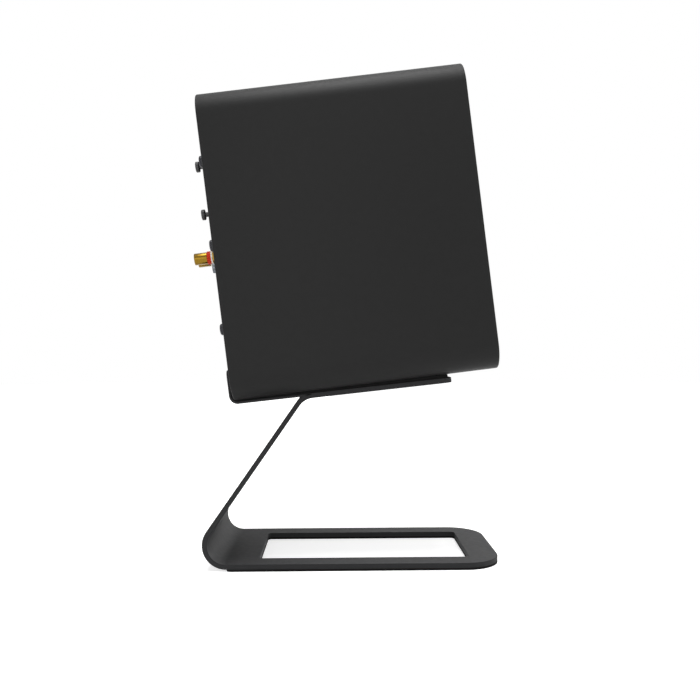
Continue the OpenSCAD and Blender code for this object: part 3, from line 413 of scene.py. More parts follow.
# Nickel plate on the small socket: warm grey and bright.
nickel = finish("nickel_plate", "#A7A5A1", 0.24, 1.0, mottle=("#97958F", 3), polish=(0.06, 2),
                grain=(0.003, 0.6))
# Extruded heat sink: light grey, with the lines of the die up its height.
aluminium = finish("extruded_aluminium", "#B4B7BB", 0.36, 1.0, mottle=("#A5A9AE", (6, 3, 60)),
                   polish=(0.07, (2, 1, 40)), grain=(0.01, (0.8, 0.8, 40)))
# Enamelled wire, wound in layers: a ridge for each turn. The 0.2 mm wire is drawn at 0.5 mm.
copper = finish("enamelled_copper_wire", "#B5652F", 0.3, 1.0, mottle=("#9C4F22", 1.2), polish=(0.08, 1),
                weave=(0.12, 0.5, "XZ"))
print("copper wire nodes:", len(copper.node_tree.nodes))

# %% Anodised panel and magnets
# The rear panel is brushed across its width and anodised black, so it has long level streaks.
anodised = finish("black_anodised_aluminium", "#151517", 0.4, mottle=("#1A1A1C", (14, 60, 3)),
                  polish=(0.06, (9, 40, 2)), grain=(0.008, (4, 30, 0.6)), Specular_IOR_Level=0.45)
# Sintered and ground ferrite: a dark grey ceramic, dull and slightly speckled.
ferrite = finish("sintered_ferrite", "#2C2C2E", 0.68, mottle=("#3A3A3D", 1.5), polish=(0.08, 2),
                 grain=(0.03, 0.8))
print("materials so far:", len(bpy.data.materials))

# %% [markdown]
# ## Papers, cloths and boards
#
# The cone is pressed paper pulp with a black coating, so its grain is fibrous. The tweeter's
# dome is silk and the woofer's spider is cotton, both stiffened with resin, so their threads
# show as a fine weave. The boards are glass fibre under a green solder mask.

# %% Papers, cloths and boards
# Felted pulp under a thin coat: fibres a little over 1 mm long, and hardly any gloss.
pulp = finish("coated_paper_pulp", "#1D1D1F", 0.66, mottle=("#26262A", 2.5), polish=(0.08, 3),
              grain=(0.07, 1.3), Specular_IOR_Level=0.35)
# Coated silk: soft and even. Its 0.1 mm threads are drawn at 0.55 mm.
silk = finish("coated_silk", "#1B1B1F", 0.5, mottle=("#222227", 3), polish=(0.06, 2),
              weave=(0.06, 0.55, "YZ"), Sheen_Weight=0.2)
# Cotton dipped in resin: golden brown and open. Its 0.4 mm threads are drawn at 0.8 mm.
cotton = finish("resin_cotton_cloth", "#A57B33", 0.7, mottle=("#936A28", 3), polish=(0.08, 2),
                weave=(0.15, 0.8, "YZ"), Sheen_Weight=0.15)
# Carded polyester: loose grey fibres with a soft bloom.
fleece = finish("polyester_wadding", "#8B8B90", 0.95, mottle=("#A2A2A6", 5), polish=(0.04, 6),
                grain=(0.9, 4), Sheen_Weight=0.5)
# Solder mask: a glossy green lacquer that sinks a little between the tracks.
mask = finish("green_solder_mask", "#124A2D", 0.32, mottle=("#1A5B38", (9, 1.2, 9)), polish=(0.05, 3),
              grain=(0.03, (9, 1.2, 9)))
print("materials:", len(bpy.data.materials))

# %% [markdown]
# ## Places
#
# The cabinet leans back by the tilt. Its own coordinates start at its lower rear edge: X is
# the depth, Z the height. Turned parts are drawn upright on the Z axis and then laid on the
# front or on the rear panel by one matrix, which also turns millimetres to metres.
# The corner's place comes from the CAD box of the shell, so it follows the CAD model.

# %% Cabinet coordinates
# Depth, width and height, and the radii of the long edges and of the rims at both ends
cab_d, cab_w, cab_h, cab_r, rim_r = 185.0, 137.0, 214.0, 17.5, 0.9
low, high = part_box("cabinet_shell")
corner_x = low[0] / MM + rim_r - rim_r * math.cos(tilt) + (cab_h - rim_r) * math.sin(tilt)
corner_z = low[2] / MM + rim_r - rim_r * (math.sin(tilt) + math.cos(tilt))
millimetres = Matrix.Scale(MM, 4)
lean = Matrix.Translation((corner_x, 0, corner_z)) @ Matrix.Rotation(-tilt, 4, "Y")
in_cabinet = millimetres @ lean
# Heights of the middles of the rear panel, the woofer, the tweeter and the port
panel_z, woofer_z, tweeter_z, port_z = 108.0, 64.0, 167.0, 193.0


def on_front(z):
    """Drawn upright, laid on the front face: Z points forward."""
    return in_cabinet @ Matrix.Translation((cab_d, 0, z)) @ Matrix.Rotation(math.pi / 2, 4, "Y")


def on_rear(y, z):
    """Drawn upright, laid on the rear face: Z points out of the back and X points up."""
    return in_cabinet @ Matrix.Translation((0, y, z)) @ Matrix.Rotation(-math.pi / 2, 4, "Y")


print("lower rear corner at", round(corner_x, 2), round(corner_z, 2), "mm")

# %% [markdown]
# ## Blocks, rods and cuts
#
# A board or a bar starts as a cube, and the edges along one way are rounded by a bevel. Holes
# and pockets are cut with a Boolean, as a drill or a mill would cut them. The exact solver is
# slower than the fast one, but it copes with faces that lie in one plane.

# %% Blocks and rods


def placed(bm, matrix):
    """The shape, moved or turned by a matrix."""
    bmesh.ops.transform(bm, matrix=matrix, verts=bm.verts)
    return bm


def prism(sides, radius, start, end):
    """An upright rod with this many sides, from one height to another, with a corner on +X."""
    upright = Matrix.Rotation(-math.pi / 2, 4, "Z") @ Matrix.Translation((0, 0, (start + end) / 2))
    bm = bmesh.new()
    bmesh.ops.create_cone(bm, cap_ends=True, cap_tris=False, segments=sides, radius1=radius,
                          radius2=radius, depth=end - start, matrix=upright)
    return bm


def block(size, middle, rounding, along="X", steps=6):
    """A bar of this size round its middle, with the edges along one way rounded."""
    bm = bmesh.new()
    bmesh.ops.create_cube(bm, size=1.0, matrix=Matrix.Translation(middle) @ Matrix.Diagonal((*size, 1)))
    way = "XYZ".index(along)
    long_edges = [e for e in bm.edges if abs((e.verts[0].co - e.verts[1].co)[way]) > 0.9 * size[way]]
    bmesh.ops.bevel(bm, geom=long_edges, offset=rounding, offset_type="OFFSET", affect="EDGES",
                    segments=steps, profile=0.5, material=-1)
    return bm


bar = block((4.0, 2.0, 2.0), (0, 0, 0), 0.5)
print("a rounded bar:", len(bar.faces), "faces")
bar.free()

# %% Cutting


def carved(bm, *cutters, operation="DIFFERENCE"):
    """The shape with the cutters taken out of it, or what it has in common with them."""
    objects = []
    for part in (bm, *cutters):
        mesh = bpy.data.meshes.new("cut")
        part.to_mesh(mesh)
        part.free()
        objects.append(bpy.data.objects.new("cut", mesh))
        scene.collection.objects.link(objects[-1])
    for cutter in objects[1:]:
        cut = objects[0].modifiers.new("cut", "BOOLEAN")
        cut.operation = operation
        cut.solver = "EXACT"
        cut.object = cutter
    bpy.context.view_layer.update()
    result = bmesh.new()
    result.from_object(objects[0], bpy.context.evaluated_depsgraph_get())
    for used in objects:
        mesh = used.data
        bpy.data.objects.remove(used)
        bpy.data.meshes.remove(mesh)
    bmesh.ops.remove_doubles(result, verts=result.verts, dist=0.0005)
    return result


bored = carved(prism(6, 2.0, 0.0, 1.0), prism(32, 1.0, -1.0, 2.0))
print("a bored rod of 6 sides:", len(bored.faces), "faces")
bored.free()

# %% [markdown]
# ## Finishing a piece
#
# Every shape ends in the same way. It is put in its place, its normals are turned outwards,
# and it gets its surface and its body. A narrow Bevel modifier breaks the sharp edges where
# one is asked for: no real edge is perfectly sharp, and the broken edge is what catches the
# light. A piece that stands for one CAD node is measured against that node's box.

# %% Finishing a piece
SHARP = math.radians(35)


def off_cad_box(piece, node):
    """The most by which the piece's box differs from a CAD node's, in mm."""
    low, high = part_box(node)
    ends = [[corner[i] for corner in piece.bound_box] for i in range(3)]
    return max(max(abs(min(ends[i]) - low[i]), abs(max(ends[i]) - high[i])) for i in range(3)) / MM


def finished(name, bm, place, surface, body="speaker_on_stand", nodes=(), soften=0.0):
    """Puts a shape in its place, gives it its surface and its body, and hides the CAD nodes that it stands
    for.
    """
    placed(bm, place)
    bmesh.ops.remove_doubles(bm, verts=bm.verts, dist=1e-6)
    bmesh.ops.recalc_face_normals(bm, faces=bm.faces)
    open_edges = sum(1 for e in bm.edges if not e.is_manifold)
    for face in bm.faces:
        face.smooth = True
    mesh = bpy.data.meshes.new(name)
    bm.to_mesh(mesh)
    bm.free()
    mesh.set_sharp_from_angle(angle=SHARP)
    piece = bpy.data.objects.new(name, mesh)
    scene.collection.objects.link(piece)
    mesh.materials.append(surface)
    if soften:
        edge = piece.modifiers.new("soft_edges", "BEVEL")
        edge.width = soften * MM
        edge.segments = 2
        edge.limit_method = "ANGLE"
        edge.angle_limit = SHARP
        edge.harden_normals = True
    if body:
        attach(piece, body)
    if nodes:
        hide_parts(*nodes)
    size = [round(d / MM, 1) for d in piece.dimensions]
    note = f", {open_edges} open edges" if open_edges else ""
    if len(nodes) == 1:
        note += f", {off_cad_box(piece, nodes[0]):.2f} mm from the CAD box"
    print(f"{name}: {len(mesh.polygons)} faces, {size} mm{note}")
    return piece


# %% [markdown]
# ## Cabinet shell
#
# The shell is fibreboard that is bent and glued to a box with four large rounded edges, and
# the rims at both ends are lightly sanded. A cube becomes this body in two bevels: first the
# four long edges, then the loops round both ends. The inside, the ledge for the baffle, the
# pocket for the rear panel, the screw holes and the mouth of the port are cut out of it.

# %% Cabinet body
round_steps = 16
body = block((cab_d, cab_w, cab_h), (cab_d / 2, 0, cab_h / 2), cab_r, steps=round_steps)
rims = [e for e in body.edges if abs(e.verts[0].co.x - e.verts[1].co.x) < 0.01]
bmesh.ops.bevel(body, geom=rims, offset=rim_r, offset_type="OFFSET", affect="EDGES", segments=3, profile=0.5,
                material=-1)
print("cabinet body:", len(body.faces), "faces, rims bevelled:", len(rims), "edges")

# %% Hollow, rebates and holes
# The walls, the baffle with the rim round it, and the distance by which a cutter runs on
wall, baffle_t, baffle_rim, fit, past = 6.0, 9.0, 3.5, 0.2, 5
# The rear panel, the depth of its rebate, and the opening behind it, 10 and 5 mm smaller all round
panel_w, panel_h, panel_seat, border_y, border_z = 128.0, 140.0, 3.4, 10, 5
panel_screw_y, panel_screw_rows, panel_screw_r = 59.5, (-58, 0, 58), 2.0
port_r, mouth_r, mouth_deep = 11.5, 13.0, 1.5


def section(start, end, inset):
    """The cabinet's own section, smaller by inset, from one depth to another."""
    size = (end - start, cab_w - 2 * inset, cab_h - 2 * inset)
    return block(size, ((start + end) / 2, 0, cab_h / 2), cab_r - inset, steps=round_steps)


def rod_in(y, z, radius, start, end, sides=32):
    """A rod along the cabinet's depth, for holes from the front or the rear."""
    along_depth = Matrix.Translation((0, y, z)) @ Matrix.Rotation(math.pi / 2, 4, "Y")
    return placed(prism(sides, radius, start, end), along_depth)


cuts = [
    section(wall, cab_d + past, wall),
    section(cab_d - baffle_t, cab_d + past, baffle_rim),
    block((2 * past, panel_w + 2 * fit, panel_h + 2 * fit), (panel_seat - past, 0, panel_z), 6),
    block((4 * past, panel_w - 2 * border_y, panel_h - 2 * border_z), (0, 0, panel_z), 4),
    rod_in(0, port_z, port_r, -past, wall + past, 64),
    rod_in(0, port_z, mouth_r, -past, mouth_deep, 64),
]
cuts += [rod_in(side * panel_screw_y, panel_z + row, panel_screw_r, -past, wall + past)
         for side in (-1, 1) for row in panel_screw_rows]
shell = carved(body, *cuts)
print("shell cut:", len(cuts), "cuts")

# %% Holes for the threaded inserts, and the finished shell
# The plate of the stand slopes a little less than the cabinet, and the liner fills the wedge.
plate_slope, liner_rear = 6.2, 0.6
plate_drop = tilt - math.radians(plate_slope)
# The screws' places on the plate, and the inserts' radius and their ends above the plate
cradle_x, cradle_y = 100, (-32, 32)
insert_r, insert_low, insert_top = 4.0, 0.12, 7.12


def on_cradle(y):
    """On the cradle plate's upper face, upright to it, in the cabinet's millimetres."""
    drop = -liner_rear - cradle_x * math.tan(plate_drop)
    return Matrix.Translation((cradle_x, y, drop)) @ Matrix.Rotation(plate_drop, 4, "Y")


shell = carved(shell, *[placed(prism(32, insert_r, insert_low, insert_top), on_cradle(y)) for y in cradle_y])
finished("cabinet_shell_piece", shell, in_cabinet, lacquer, nodes=("cabinet_shell",), soften=0.25)

# %% [markdown]
# ## Front baffle
#
# The baffle is a routed board that is let into the shell, lacquered like it. Each driver sits
# in a round pocket as deep as its flange, with a through hole inside it and four screw holes
# under the flange. A fine joint line stays all round between baffle and shell.

# %% Board of the baffle
baffle = section(cab_d - baffle_t, cab_d, baffle_rim + fit)
face = [e for e in baffle.edges if all(abs(v.co.x - cab_d) < 0.01 for v in e.verts)]
bmesh.ops.bevel(baffle, geom=face, offset=0.4, offset_type="OFFSET", affect="EDGES", segments=2, profile=0.5,
                material=-1)
print("baffle:", len(baffle.faces), "faces, front edge bevelled:", len(face), "edges")

# %% Pockets and holes of the baffle
# Radii of the pocket, the hole, the circle of the screws and their holes, and the pocket's depth
woofer_seat = {"pocket": 50.2, "deep": 3.5, "hole": 42.2, "circle": 46.6, "screw": 1.75}
tweeter_seat = {"pocket": 33.2, "deep": 4, "hole": 26.2, "circle": 29.4, "screw": 1.5}
# The status light's distance to the side, height and radius
lens_y, lens_z, lens_r = 48.5, 16, 1.5
# How far a cutter runs past the front, and how far behind it
skim, through = 1, 20
quarters = [math.pi / 4 + k * math.pi / 2 for k in range(4)]


def pocket_and_hole(z, seat, sides):
    """The round pocket of one driver's flange, and the hole behind it."""
    return [rod_in(0, z, seat["pocket"], cab_d - seat["deep"], cab_d + skim, sides),
            rod_in(0, z, seat["hole"], cab_d - through, cab_d + skim, sides)]


def screws_behind(z, seat):
    """Four screw holes on a circle, from just under the front face to past the back of the board."""
    spots = [(seat["circle"] * math.cos(a), seat["circle"] * math.sin(a)) for a in quarters]
    return [rod_in(y, z + up, seat["screw"], cab_d - baffle_t - skim, cab_d - skim, 16) for y, up in spots]


routed = pocket_and_hole(woofer_z, woofer_seat, 128) + pocket_and_hole(tweeter_z, tweeter_seat, 96)
routed.append(rod_in(lens_y, lens_z, lens_r, cab_d - through, cab_d + skim, 24))
routed += screws_behind(woofer_z, woofer_seat) + screws_behind(tweeter_z, tweeter_seat)
baffle = carved(baffle, *routed)
finished("front_baffle_piece", baffle, in_cabinet, lacquer, nodes=("front_baffle",), soften=0.2)

# %% [markdown]
# ## Turned parts
#
# A turned part starts as a few vertices joined in a closed outline. Corners are rounded by a
# vertex bevel while it is still flat, which is cheaper and cleaner than bevelling the solid,
# and a full spin makes the body. An outline that touches the axis is left open there.

# %% Outlines and turning
# Points closer than this many millimetres are one point
SAME = 0.002


def outline(points, steps):
    """A closed flat outline in X-Z. A point is (x, z) or (x, z, rounding)."""
    bm = bmesh.new()
    corners = [bm.verts.new((p[0], 0, p[1])) for p in points]
    for a, b in zip(corners, corners[1:] + corners[:1]):
        bm.edges.new((a, b))
    for corner, p in zip(corners, points):
        if len(p) > 2:
            bmesh.ops.bevel(bm, geom=[corner], offset=p[2], offset_type="OFFSET", affect="VERTICES",
                            segments=steps, profile=0.5, material=-1)
    bmesh.ops.remove_doubles(bm, verts=bm.verts, dist=SAME)
    return bm


def turned(points, steps=4, around=64):
    """The outline spun about Z: x is the radius and z the height."""
    bm = outline(points, steps)
    on_axis = [e for e in bm.edges if all(v.co.x < 0.001 for v in e.verts)]
    bmesh.ops.delete(bm, geom=on_axis, context="EDGES")
    bmesh.ops.spin(bm, geom=bm.verts[:] + bm.edges[:], cent=(0, 0, 0), axis=(0, 0, 1), dvec=(0, 0, 0),
                   angle=2 * math.pi, steps=around, use_merge=True, use_duplicate=False)
    bmesh.ops.remove_doubles(bm, verts=bm.verts, dist=SAME)
    bmesh.ops.recalc_face_normals(bm, faces=bm.faces)
    return bm


ring = turned([(1, 0), (2, 0, 0.3), (2, 1), (1, 1)])
print("a ring with one rounded corner:", len(ring.faces), "faces")
ring.free()

# %% [markdown]
# ## Stand
#
# The stand is one 3.5 mm steel sheet: cut flat by laser, with a window in the base, then bent
# twice on a press brake and powder coated. It is made here the same way. A vertex is drawn
# along the sheet's inner face, straight parts by extrusion and bends by a spin, and the line
# is extruded to the width. The corners are rounded while it is still a skin, and solidify
# gives the thickness on the outside of the bends.

# %% Bending a sheet
steel_t, foot_top, base_w = 3.5, 5.0, 109.0
low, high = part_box("base_pad")
base_rear, base_front = low[0] / MM, high[0] / MM
degrees_a_step = 4


def heading(degrees):
    """The way that a sheet seen from the side runs, in X and Z, at this angle above +X."""
    return Vector((math.cos(math.radians(degrees)), 0, math.sin(math.radians(degrees))))


def skin_of(start, facing, path):
    """The sheet's inner face, bent to the right, and its far end. path is (length, inner radius, turn)."""
    bm = bmesh.new()
    tip = bm.verts.new(start)
    for length, radius, turn in path:
        where = tip.co + length * heading(facing)
        tip = bmesh.ops.extrude_vert_indiv(bm, verts=[tip])["verts"][0]
        tip.co = where
        if turn:
            centre = where + radius * heading(facing - 90)
            bend = bmesh.ops.spin(bm, geom=[tip], cent=centre, axis=(0, 1, 0), dvec=(0, 0, 0),
                                  angle=math.radians(turn), steps=math.ceil(turn / degrees_a_step),
                                  use_duplicate=False)
            tip = next(v for v in bend["geom_last"] if isinstance(v, bmesh.types.BMVert))
            facing -= turn
    end = tip.co.copy()
    skin = bmesh.ops.extrude_edge_only(bm, edges=bm.edges[:])["geom"]
    bmesh.ops.translate(bm, vec=(0, base_w, 0), verts=[v for v in skin if isinstance(v, bmesh.types.BMVert)])
    bmesh.ops.translate(bm, vec=(0, -base_w / 2, 0), verts=bm.verts)
    return bm, end


def bent_sheet(start, facing, path, thickness, corners):
    """A bent sheet of this thickness, with the corners at its start and at its end rounded."""
    bm, end = skin_of(start, facing, path)
    for place, rounding in ((Vector(start), corners[0]), (end, corners[1])):
        ends = [v for v in bm.verts if (v.co.xz - place.xz).length < 0.01]
        if rounding:
            bmesh.ops.bevel(bm, geom=ends, offset=rounding, offset_type="OFFSET", affect="VERTICES",
                            segments=10, profile=0.5, material=-1)
    bmesh.ops.recalc_face_normals(bm, faces=bm.faces)
    bmesh.ops.solidify(bm, geom=bm.faces[:], thickness=-thickness)
    return bm


print("base from", round(base_rear, 2), "to", round(base_front, 2), "mm")

# %% Lengths of the arm and the cradle plate


def slope(degrees):
    """The same way in X and Z alone."""
    return heading(degrees).xz


# Inner radius of the lower bend, lean of the arm, inner radius and turn of the neck
bend_r, arm_lean, neck_r, neck_turn = 13.3, 34.9, 12.5, 48.9
# Where the plate ends, measured along the cabinet from its lower rear edge
plate_reach = 152.5
lean_degrees = math.degrees(tilt)
corner = Vector((corner_x, corner_z))
plate_dir, arm_dir = slope(plate_slope), slope(90 - arm_lean)
plate_down = slope(plate_slope - 90)
plate_under = corner + liner_rear * slope(lean_degrees - 90) + steel_t * plate_down
arm_start = Vector((base_rear, foot_top + bend_r)) + bend_r * slope(180 - arm_lean)
arm_full = (plate_under - arm_start).dot(plate_down) / arm_dir.dot(plate_down)
neck_cut = neck_r * math.tan(math.radians(neck_turn / 2))
plate_start = arm_start + arm_full * arm_dir + neck_cut * plate_dir
plate_len = (corner + plate_reach * slope(lean_degrees) - plate_start).dot(plate_dir)
stand_path = [(base_front - base_rear, bend_r, 90 + arm_lean), (arm_full - neck_cut, neck_r, neck_turn),
              (plate_len, 0, 0)]
print("arm", round(arm_full - neck_cut, 1), "mm, plate", round(plate_len, 1), "mm")

# %% Stand
# The roundings at the base's front and at the plate's end, and the borders round the window
stand_corners, window_end, window_side = (26, 6), 21.7, 17
head_r, shank_r = 4.85, 2.6
stand_sheet = ((base_front, 0, foot_top), 180, stand_path, steel_t, stand_corners)
window_size = (base_front - base_rear - 2 * window_end, base_w - 2 * window_side, 20)
window = block(window_size, ((base_rear + base_front) / 2, 0, foot_top), 3, along="Z")
countersink = [(0, -5), (head_r, -5), (head_r, -steel_t), (shank_r, -1.275), (shank_r, 2), (0, 2)]
screw_seats = [placed(turned(countersink, around=48), lean @ on_cradle(y)) for y in cradle_y]
stand = carved(bent_sheet(*stand_sheet), window, *screw_seats)
finished("stand_frame_piece", stand, millimetres, powder, nodes=("stand_frame",), soften=0.3)

# %% [markdown]
# ## Rear hook
#
# The rear hook is a thinner strip that is welded to the stand's neck and turned up behind
# the cabinet, so the cabinet can't slide back off the cradle. It is bent the same way, and
# the steel of the stand is cut out of it where the two meet. Its edges are broken on the
# solid, before that cut, so the weld stays sharp.

# %% Rear hook
# The strip's thickness, its bend, its height behind the cabinet, the liner between, and its corners
hook_t, hook_r, hook_h, liner_back, hook_round = 1.8, 4.2, 21.7, 1.5, 5
hook_turn = 90 - math.degrees(plate_drop)
hook_cut = hook_r * math.tan(math.radians(hook_turn / 2))
hook_low = -liner_rear + liner_back * math.tan(plate_drop)
hook_corner = corner - liner_back * slope(lean_degrees) + hook_low * slope(lean_degrees + 90)
hook_weld = plate_start - steel_t * plate_down
hook_leg = (hook_weld - hook_corner).dot(plate_dir) - hook_cut
hook_path = [(hook_leg, hook_r, hook_turn), (hook_h - hook_low - hook_cut, 0, 0)]


def eased(bm, width):
    """The shape with its sharp edges broken by a narrow bevel."""
    sharp = [e for e in bm.edges if e.is_manifold and e.calc_face_angle() > SHARP]
    bmesh.ops.bevel(bm, geom=sharp, offset=width, offset_type="OFFSET", affect="EDGES", segments=2,
                    profile=0.5, material=-1)
    return bm


hook = bent_sheet((hook_weld.x, 0, hook_weld.y), 180 + plate_slope, hook_path, hook_t, (0, hook_round))
# The stand is widened by a fiftieth, so that the cut runs past both ends of the hook.
wide_stand = placed(bent_sheet(*stand_sheet), Matrix.Diagonal((1, 1.02, 1, 1)))
hook = carved(eased(hook, 0.55), wide_stand)
finished("rear_hook_piece", hook, millimetres, powder, nodes=("rear_hook",))

# %% [markdown]
# ## Woofer
#
# A 4-inch driver: a pressed frame, a paper cone in a rubber surround, and a dust cap over the voice coil. All
# of it is turned. The surround is a half roll. It is made in two rings that meet at its crown.

# %% Frame and trim ring


def screw_holes(circle, hole):
    """Four rods on a circle, for the screw holes of a flange that is drawn upright."""
    return [placed(prism(24, hole, -6, 1), Matrix.Rotation(a, 4, "Z") @ Matrix.Translation((circle, 0, 0)))
            for a in quarters]


basket = turned([(50, 0, 0.6), (50, -3.5), (42, -3.5), (42, -10), (40.2, -10), (40.2, -3.5), (38.8, -3.5),
                 (38.8, -2), (43.2, -2), (43.2, 0, 0.5)], around=126)
basket = carved(basket, *screw_holes(woofer_seat["circle"], 1.85))
finished("woofer_frame", basket, on_front(woofer_z), enamel, nodes=("woofer_basket",),
         soften=0.15)
trim = turned([(39.6, -1.2), (43.1, -1.2), (43.1, 0.4, 0.6), (39.6, 0.4, 0.6)], around=128)
finished("woofer_trim", trim, on_front(woofer_z), butyl, nodes=("woofer_trim_ring",))

# %% Surround of the woofer


def roll_half(middle, roll, skin, base, lip, steps):
    """One ring of a half roll, from its crown down to its flat lip at the radius lip."""
    way = math.copysign(1, lip - middle)
    top = base + roll
    foot = middle + way * roll
    inside = foot - way * skin
    return turned([(middle, top), (foot, top, roll), (foot, base + skin), (lip, base + skin), (lip, base),
                   (inside, base), (inside, top - skin, roll - skin), (middle, top - skin)], steps, 128)


def stretched(piece):
    """Bakes the ring's place into its mesh."""
    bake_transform(piece)


# Radius of the crown, radius of the roll, thickness and height of the lips' lower face
crown_r, roll_r, rubber_t, lips_z = 34.85, 4.35, 0.8, -2
for name, lip, nodes in (("woofer_surround_outer", 43.1, ("woofer_surround",)),
                         ("woofer_surround_inner", 27.5, ())):
    ring = roll_half(crown_r, roll_r, rubber_t, lips_z, lip, 12)
    piece = finished(name, ring, on_front(woofer_z), butyl, None, nodes)
    stretched(piece)

# %% Cone and dust cap
# Radius and height of the neck, the cone's width and depth from there, its flare, and its paper
neck, wide, deep, flare, paper_t = (13.2, -21), 17.3, 19, 0.75, 0.9
# Where on the cone the dust cap sits, and how far it bulges
cap_share, cap_rise = 0.16, 6.0


def cone_face(share):
    """Radius and height of the cone's face: steep at the neck, flatter towards the edge."""
    return neck[0] + wide * share, neck[1] + deep * share ** flare


def dome(radius, rise, skin, base):
    """A shallow shell cut from a sphere, with its rim at the height base."""
    ball = (radius * radius + rise * rise) / (2 * rise)
    bm = bmesh.new()
    bmesh.ops.create_uvsphere(bm, u_segments=96, v_segments=96, radius=ball)
    bmesh.ops.translate(bm, vec=(0, 0, base + rise - ball), verts=bm.verts)
    bmesh.ops.bisect_plane(bm, geom=bm.verts[:] + bm.edges[:] + bm.faces[:], plane_co=(0, 0, base),
                           plane_no=(0, 0, 1), clear_inner=True)
    bmesh.ops.solidify(bm, geom=bm.faces[:], thickness=skin)
    return bm


front = [cone_face(k / 14) for k in range(15)]
cone = turned(front + [(r, z - paper_t) for r, z in reversed(front)], around=128)
finished("woofer_cone_paper", cone, on_front(woofer_z), pulp, "woofer_cone_unit",
         ("woofer_cone",))
cap_r, cap_z = cone_face(cap_share)
finished("woofer_dust_cap_paper", dome(cap_r, cap_rise, 0.6, cap_z), on_front(woofer_z), pulp,
         "woofer_cone_unit", ("woofer_dust_cap",))

# %% [markdown]
# ## Tweeter
#
# A 25 mm silk dome behind a moulded faceplate whose throat opens like a small horn, which is
# a quarter ellipse spun round the axis. The dome's surround is a tiny roll of the same silk.

# %% Faceplate
throat_r, throat_wide, throat_deep = 16.6, 8.4, 6.2
quarter = [math.pi / 2 * k / 12 for k in range(13)]
throat = [(throat_r + throat_wide * (1 - math.cos(a)), -throat_deep + throat_deep * math.sin(a))
          for a in quarter]
plate = turned([(33, 0, 0.5), (33, -4), (26, -4), (26, -9.6), (throat_r, -9.6)] + throat, around=96)
plate = carved(plate, *screw_holes(tweeter_seat["circle"], 1.6))
finished("tweeter_horn", plate, on_front(tweeter_z), abs_black, nodes=("tweeter_faceplate",),
         soften=0.12)

# %% Dome and its surround
dome_r, dome_rise, silk_t, dome_z = 12.6, 5.5, 0.4, -10
crown_r, roll_r = 14.3, 1.7
for name, lip, nodes in (("tweeter_surround_outer", 18.2, ("tweeter_surround",)),
                         ("tweeter_surround_inner", dome_r, ())):
    ring = roll_half(crown_r, roll_r, silk_t, dome_z, lip, 8)
    piece = finished(name, ring, on_front(tweeter_z), silk, None, nodes)
    stretched(piece)
finished("tweeter_dome_silk", dome(dome_r, dome_rise, silk_t, dome_z), on_front(tweeter_z), silk,
         "tweeter_dome_unit", ("tweeter_dome",))

# %% [markdown]
# ## Buttons
#
# Two push buttons with mushroom heads stand out of the rear panel. Each is one moulding: a
# stem with a collar that stops it behind the panel, and a head with a shallow dish.

# %% Buttons
button_y, power_up, pairing_up = -45.0, 58.2, 24.3
for name, body, up in (("power_button", "power_plunger", power_up),
                       ("pairing_button", "pairing_plunger", pairing_up)):
    button = turned([(0, -8.2), (1.7, -8.2), (1.7, -5.2), (3, -5.2), (3, -4.2), (1.7, -4.2), (1.7, 5.0),
                     (3.75, 5.0, 0.6), (3.75, 7.7, 0.7), (2.7, 7.7, 0.5), (2.3, 7.45, 0.4), (0, 7.4)])
    finished(name + "_cap", button, on_rear(button_y, panel_z + up), abs_black, body,
             (name,))

# %% [markdown]
# ## Input jacks
#
# A pair of gold-plated input jacks, the first with a red ring and the second with a white
# one. The barrel is turned. The hexagonal flange has its corners chamfered by the lathe,
# which is what a hexagonal rod and a turned cone have in common.

# %% Input jacks
input_up = panel_z - 6.2
first_y, second_y = -45.0, -30.0


def joined(*parts):
    """Several shapes in one bmesh."""
    whole = bmesh.new()
    for part in parts:
        mesh = bpy.data.meshes.new("part")
        part.to_mesh(mesh)
        part.free()
        whole.from_mesh(mesh)
        bpy.data.meshes.remove(mesh)
    return whole


jacks = []
for y in (first_y, second_y):
    barrel = turned([(2.4, -9.4), (3.5, -9.4), (3.5, 3.3), (3.2, 3.3), (3.2, 7.3), (4.15, 7.3, 0.25),
                     (4.15, 16.4, 0.3), (3.5, 16.4, 0.2), (3.5, 8.3), (2.4, 8.3)])
    chamfers = turned([(0, -0.4), (5.7, -0.4), (5.7, 2.6), (4.9, 3.4), (0, 3.4)], around=48)
    flange = carved(prism(6, 5.6, -0.4, 3.4), chamfers, operation="INTERSECT")
    flange = carved(flange, prism(48, 3.3, -2, 5))
    jacks.append(placed(joined(barrel, flange), on_rear(y, input_up)))
finished("input_jacks", joined(*jacks), Matrix.Identity(4), gold, nodes=("rca_jacks",),
         soften=0.1)

# %% Rings of the jacks
for name, y, surface, slot in (("rca_ring_red", first_y, nylon_red, "red_ring"),
                               ("rca_ring_white", second_y, nylon_white, "white_ring")):
    ring = turned([(3.2, 4.5), (4.6, 4.5, 0.25), (4.6, 7.3, 0.25), (3.2, 7.3)])
    finished(name + "_nylon", ring, on_rear(y, input_up), surface, nodes=(name,))

# %% [markdown]
# ## Ground post
#
# A small clamp screw for a ground wire, with a straight knurl that fingers can grip. The knob
# is a rod of 64 sides with every second corner pulled in, and its end is rounded by an inset.

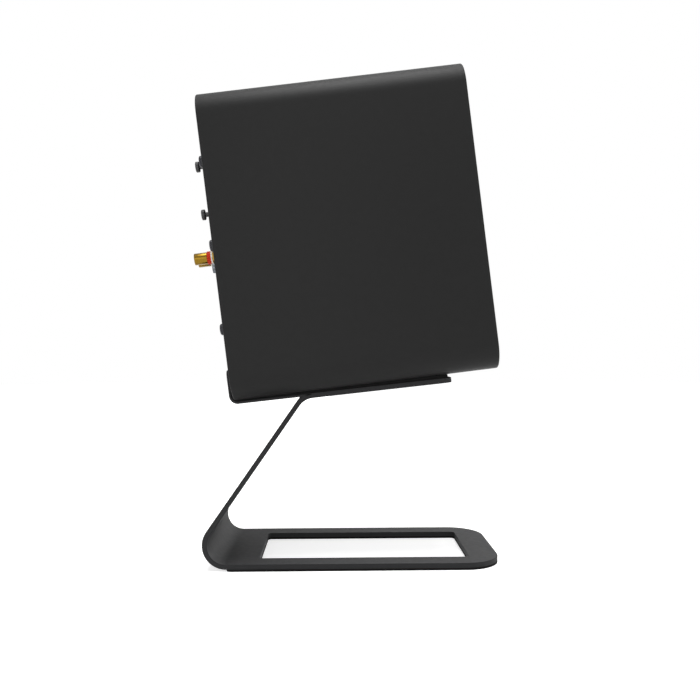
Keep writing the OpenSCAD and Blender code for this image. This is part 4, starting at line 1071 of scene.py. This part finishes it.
# %% Ground post
post_y, post_up = -50.0, input_up - 8.5
knob_sides, knob_r, knob_top, valley = 64, 3.2, 4.0, 0.945
knob = prism(knob_sides, knob_r, 0.4, knob_top)
valleys = [v for v in knob.verts if round(math.atan2(v.co.y, v.co.x) / (2 * math.pi / knob_sides)) % 2]
bmesh.ops.scale(knob, vec=(valley, valley, 1), verts=valleys)
end = [f for f in knob.faces if f.normal.z > 0.9]
bmesh.ops.inset_region(knob, faces=end, thickness=0.5, depth=0.0)
brim = [v for v in knob.verts if v.co.z > knob_top - 0.01 and v.co.xy.length > 2.8]
bmesh.ops.translate(knob, vec=(0, 0, -0.2), verts=brim)
stem = turned([(0, -6.4), (1.5, -6.4), (1.5, 0.3), (0, 0.3)], around=32)
washer = turned([(0, -0.4), (3.4, -0.4), (3.4, 0.4, 0.2), (0, 0.4)])
nut = prism(6, 2.9, -4.2, -2.4)
finished("ground_post_knurled", joined(knob, stem, washer, nut), on_rear(post_y, post_up), zinc,
         nodes=("ground_post",))

# %% [markdown]
# ## Reflex port
#
# A moulded tube behind a small flared mouth in the rear wall, which smooths the air flow.
# The flare is the large rounding at the inner corner of its outline.

# %% Port
tube = turned([(9.5, -70), (port_r, -70), (port_r, -mouth_deep), (mouth_r, -mouth_deep), (mouth_r, 0, 0.3),
               (9.5, 0, 2.0)], steps=6, around=96)
finished("port_tube_moulded", tube, on_rear(0, port_z), abs_black, nodes=("port_tube",))

# %% [markdown]
# ## The rest of the CAD nodes
#
# Plates, screws, sockets and everything inside the cabinet have the right shape already, so
# they keep it. Each only gets the finish of its real material, in its own material slots.

# %% Finishes for the nodes that stay
surfaces = {
    epdm: ("cradle_liner", "base_pad", "panel_gasket"),
    zinc: ("cradle_screws", "board_screws", "woofer_top_plate", "woofer_yoke", "tweeter_top_plate",
           "tweeter_yoke"),
    oxide: ("woofer_screws", "tweeter_screws", "panel_screws"),
    brass: ("cradle_inserts", "standoffs"),
    fleece: ("wadding",),
    enamel: ("woofer_cage",),
    ferrite: ("woofer_magnet", "tweeter_magnet"),
    cotton: ("woofer_spider",),
    copper: ("woofer_voice_coil", "tweeter_voice_coil", "inductors"),
    acrylic: ("status_lens",),
    mask: ("led_board", "amp_board", "wireless_module"),
    anodised: ("rear_panel",),
    pbt_black: ("power_switch", "pairing_switch", "dc_socket", "link_socket"),
    nylon_white: ("rca_washers", "rca_insulators"),
    gold: ("rca_nuts", "socket_pins"),
    nickel: ("usb_socket",),
    aluminium: ("heat_sink",),
    pvc_blue: ("capacitors",),
    pet_film: ("antenna",),
}
for surface, names in surfaces.items():
    for node in names:
        for place in frame["nodes"][node].material_slots:
            place.material = surface
print("nodes that keep their shape:", sum(len(names) for names in surfaces.values()))

# %% [markdown]
# ## End of the script

# The visual model has to stay inside the CAD model's box.

# %% End
print("done")
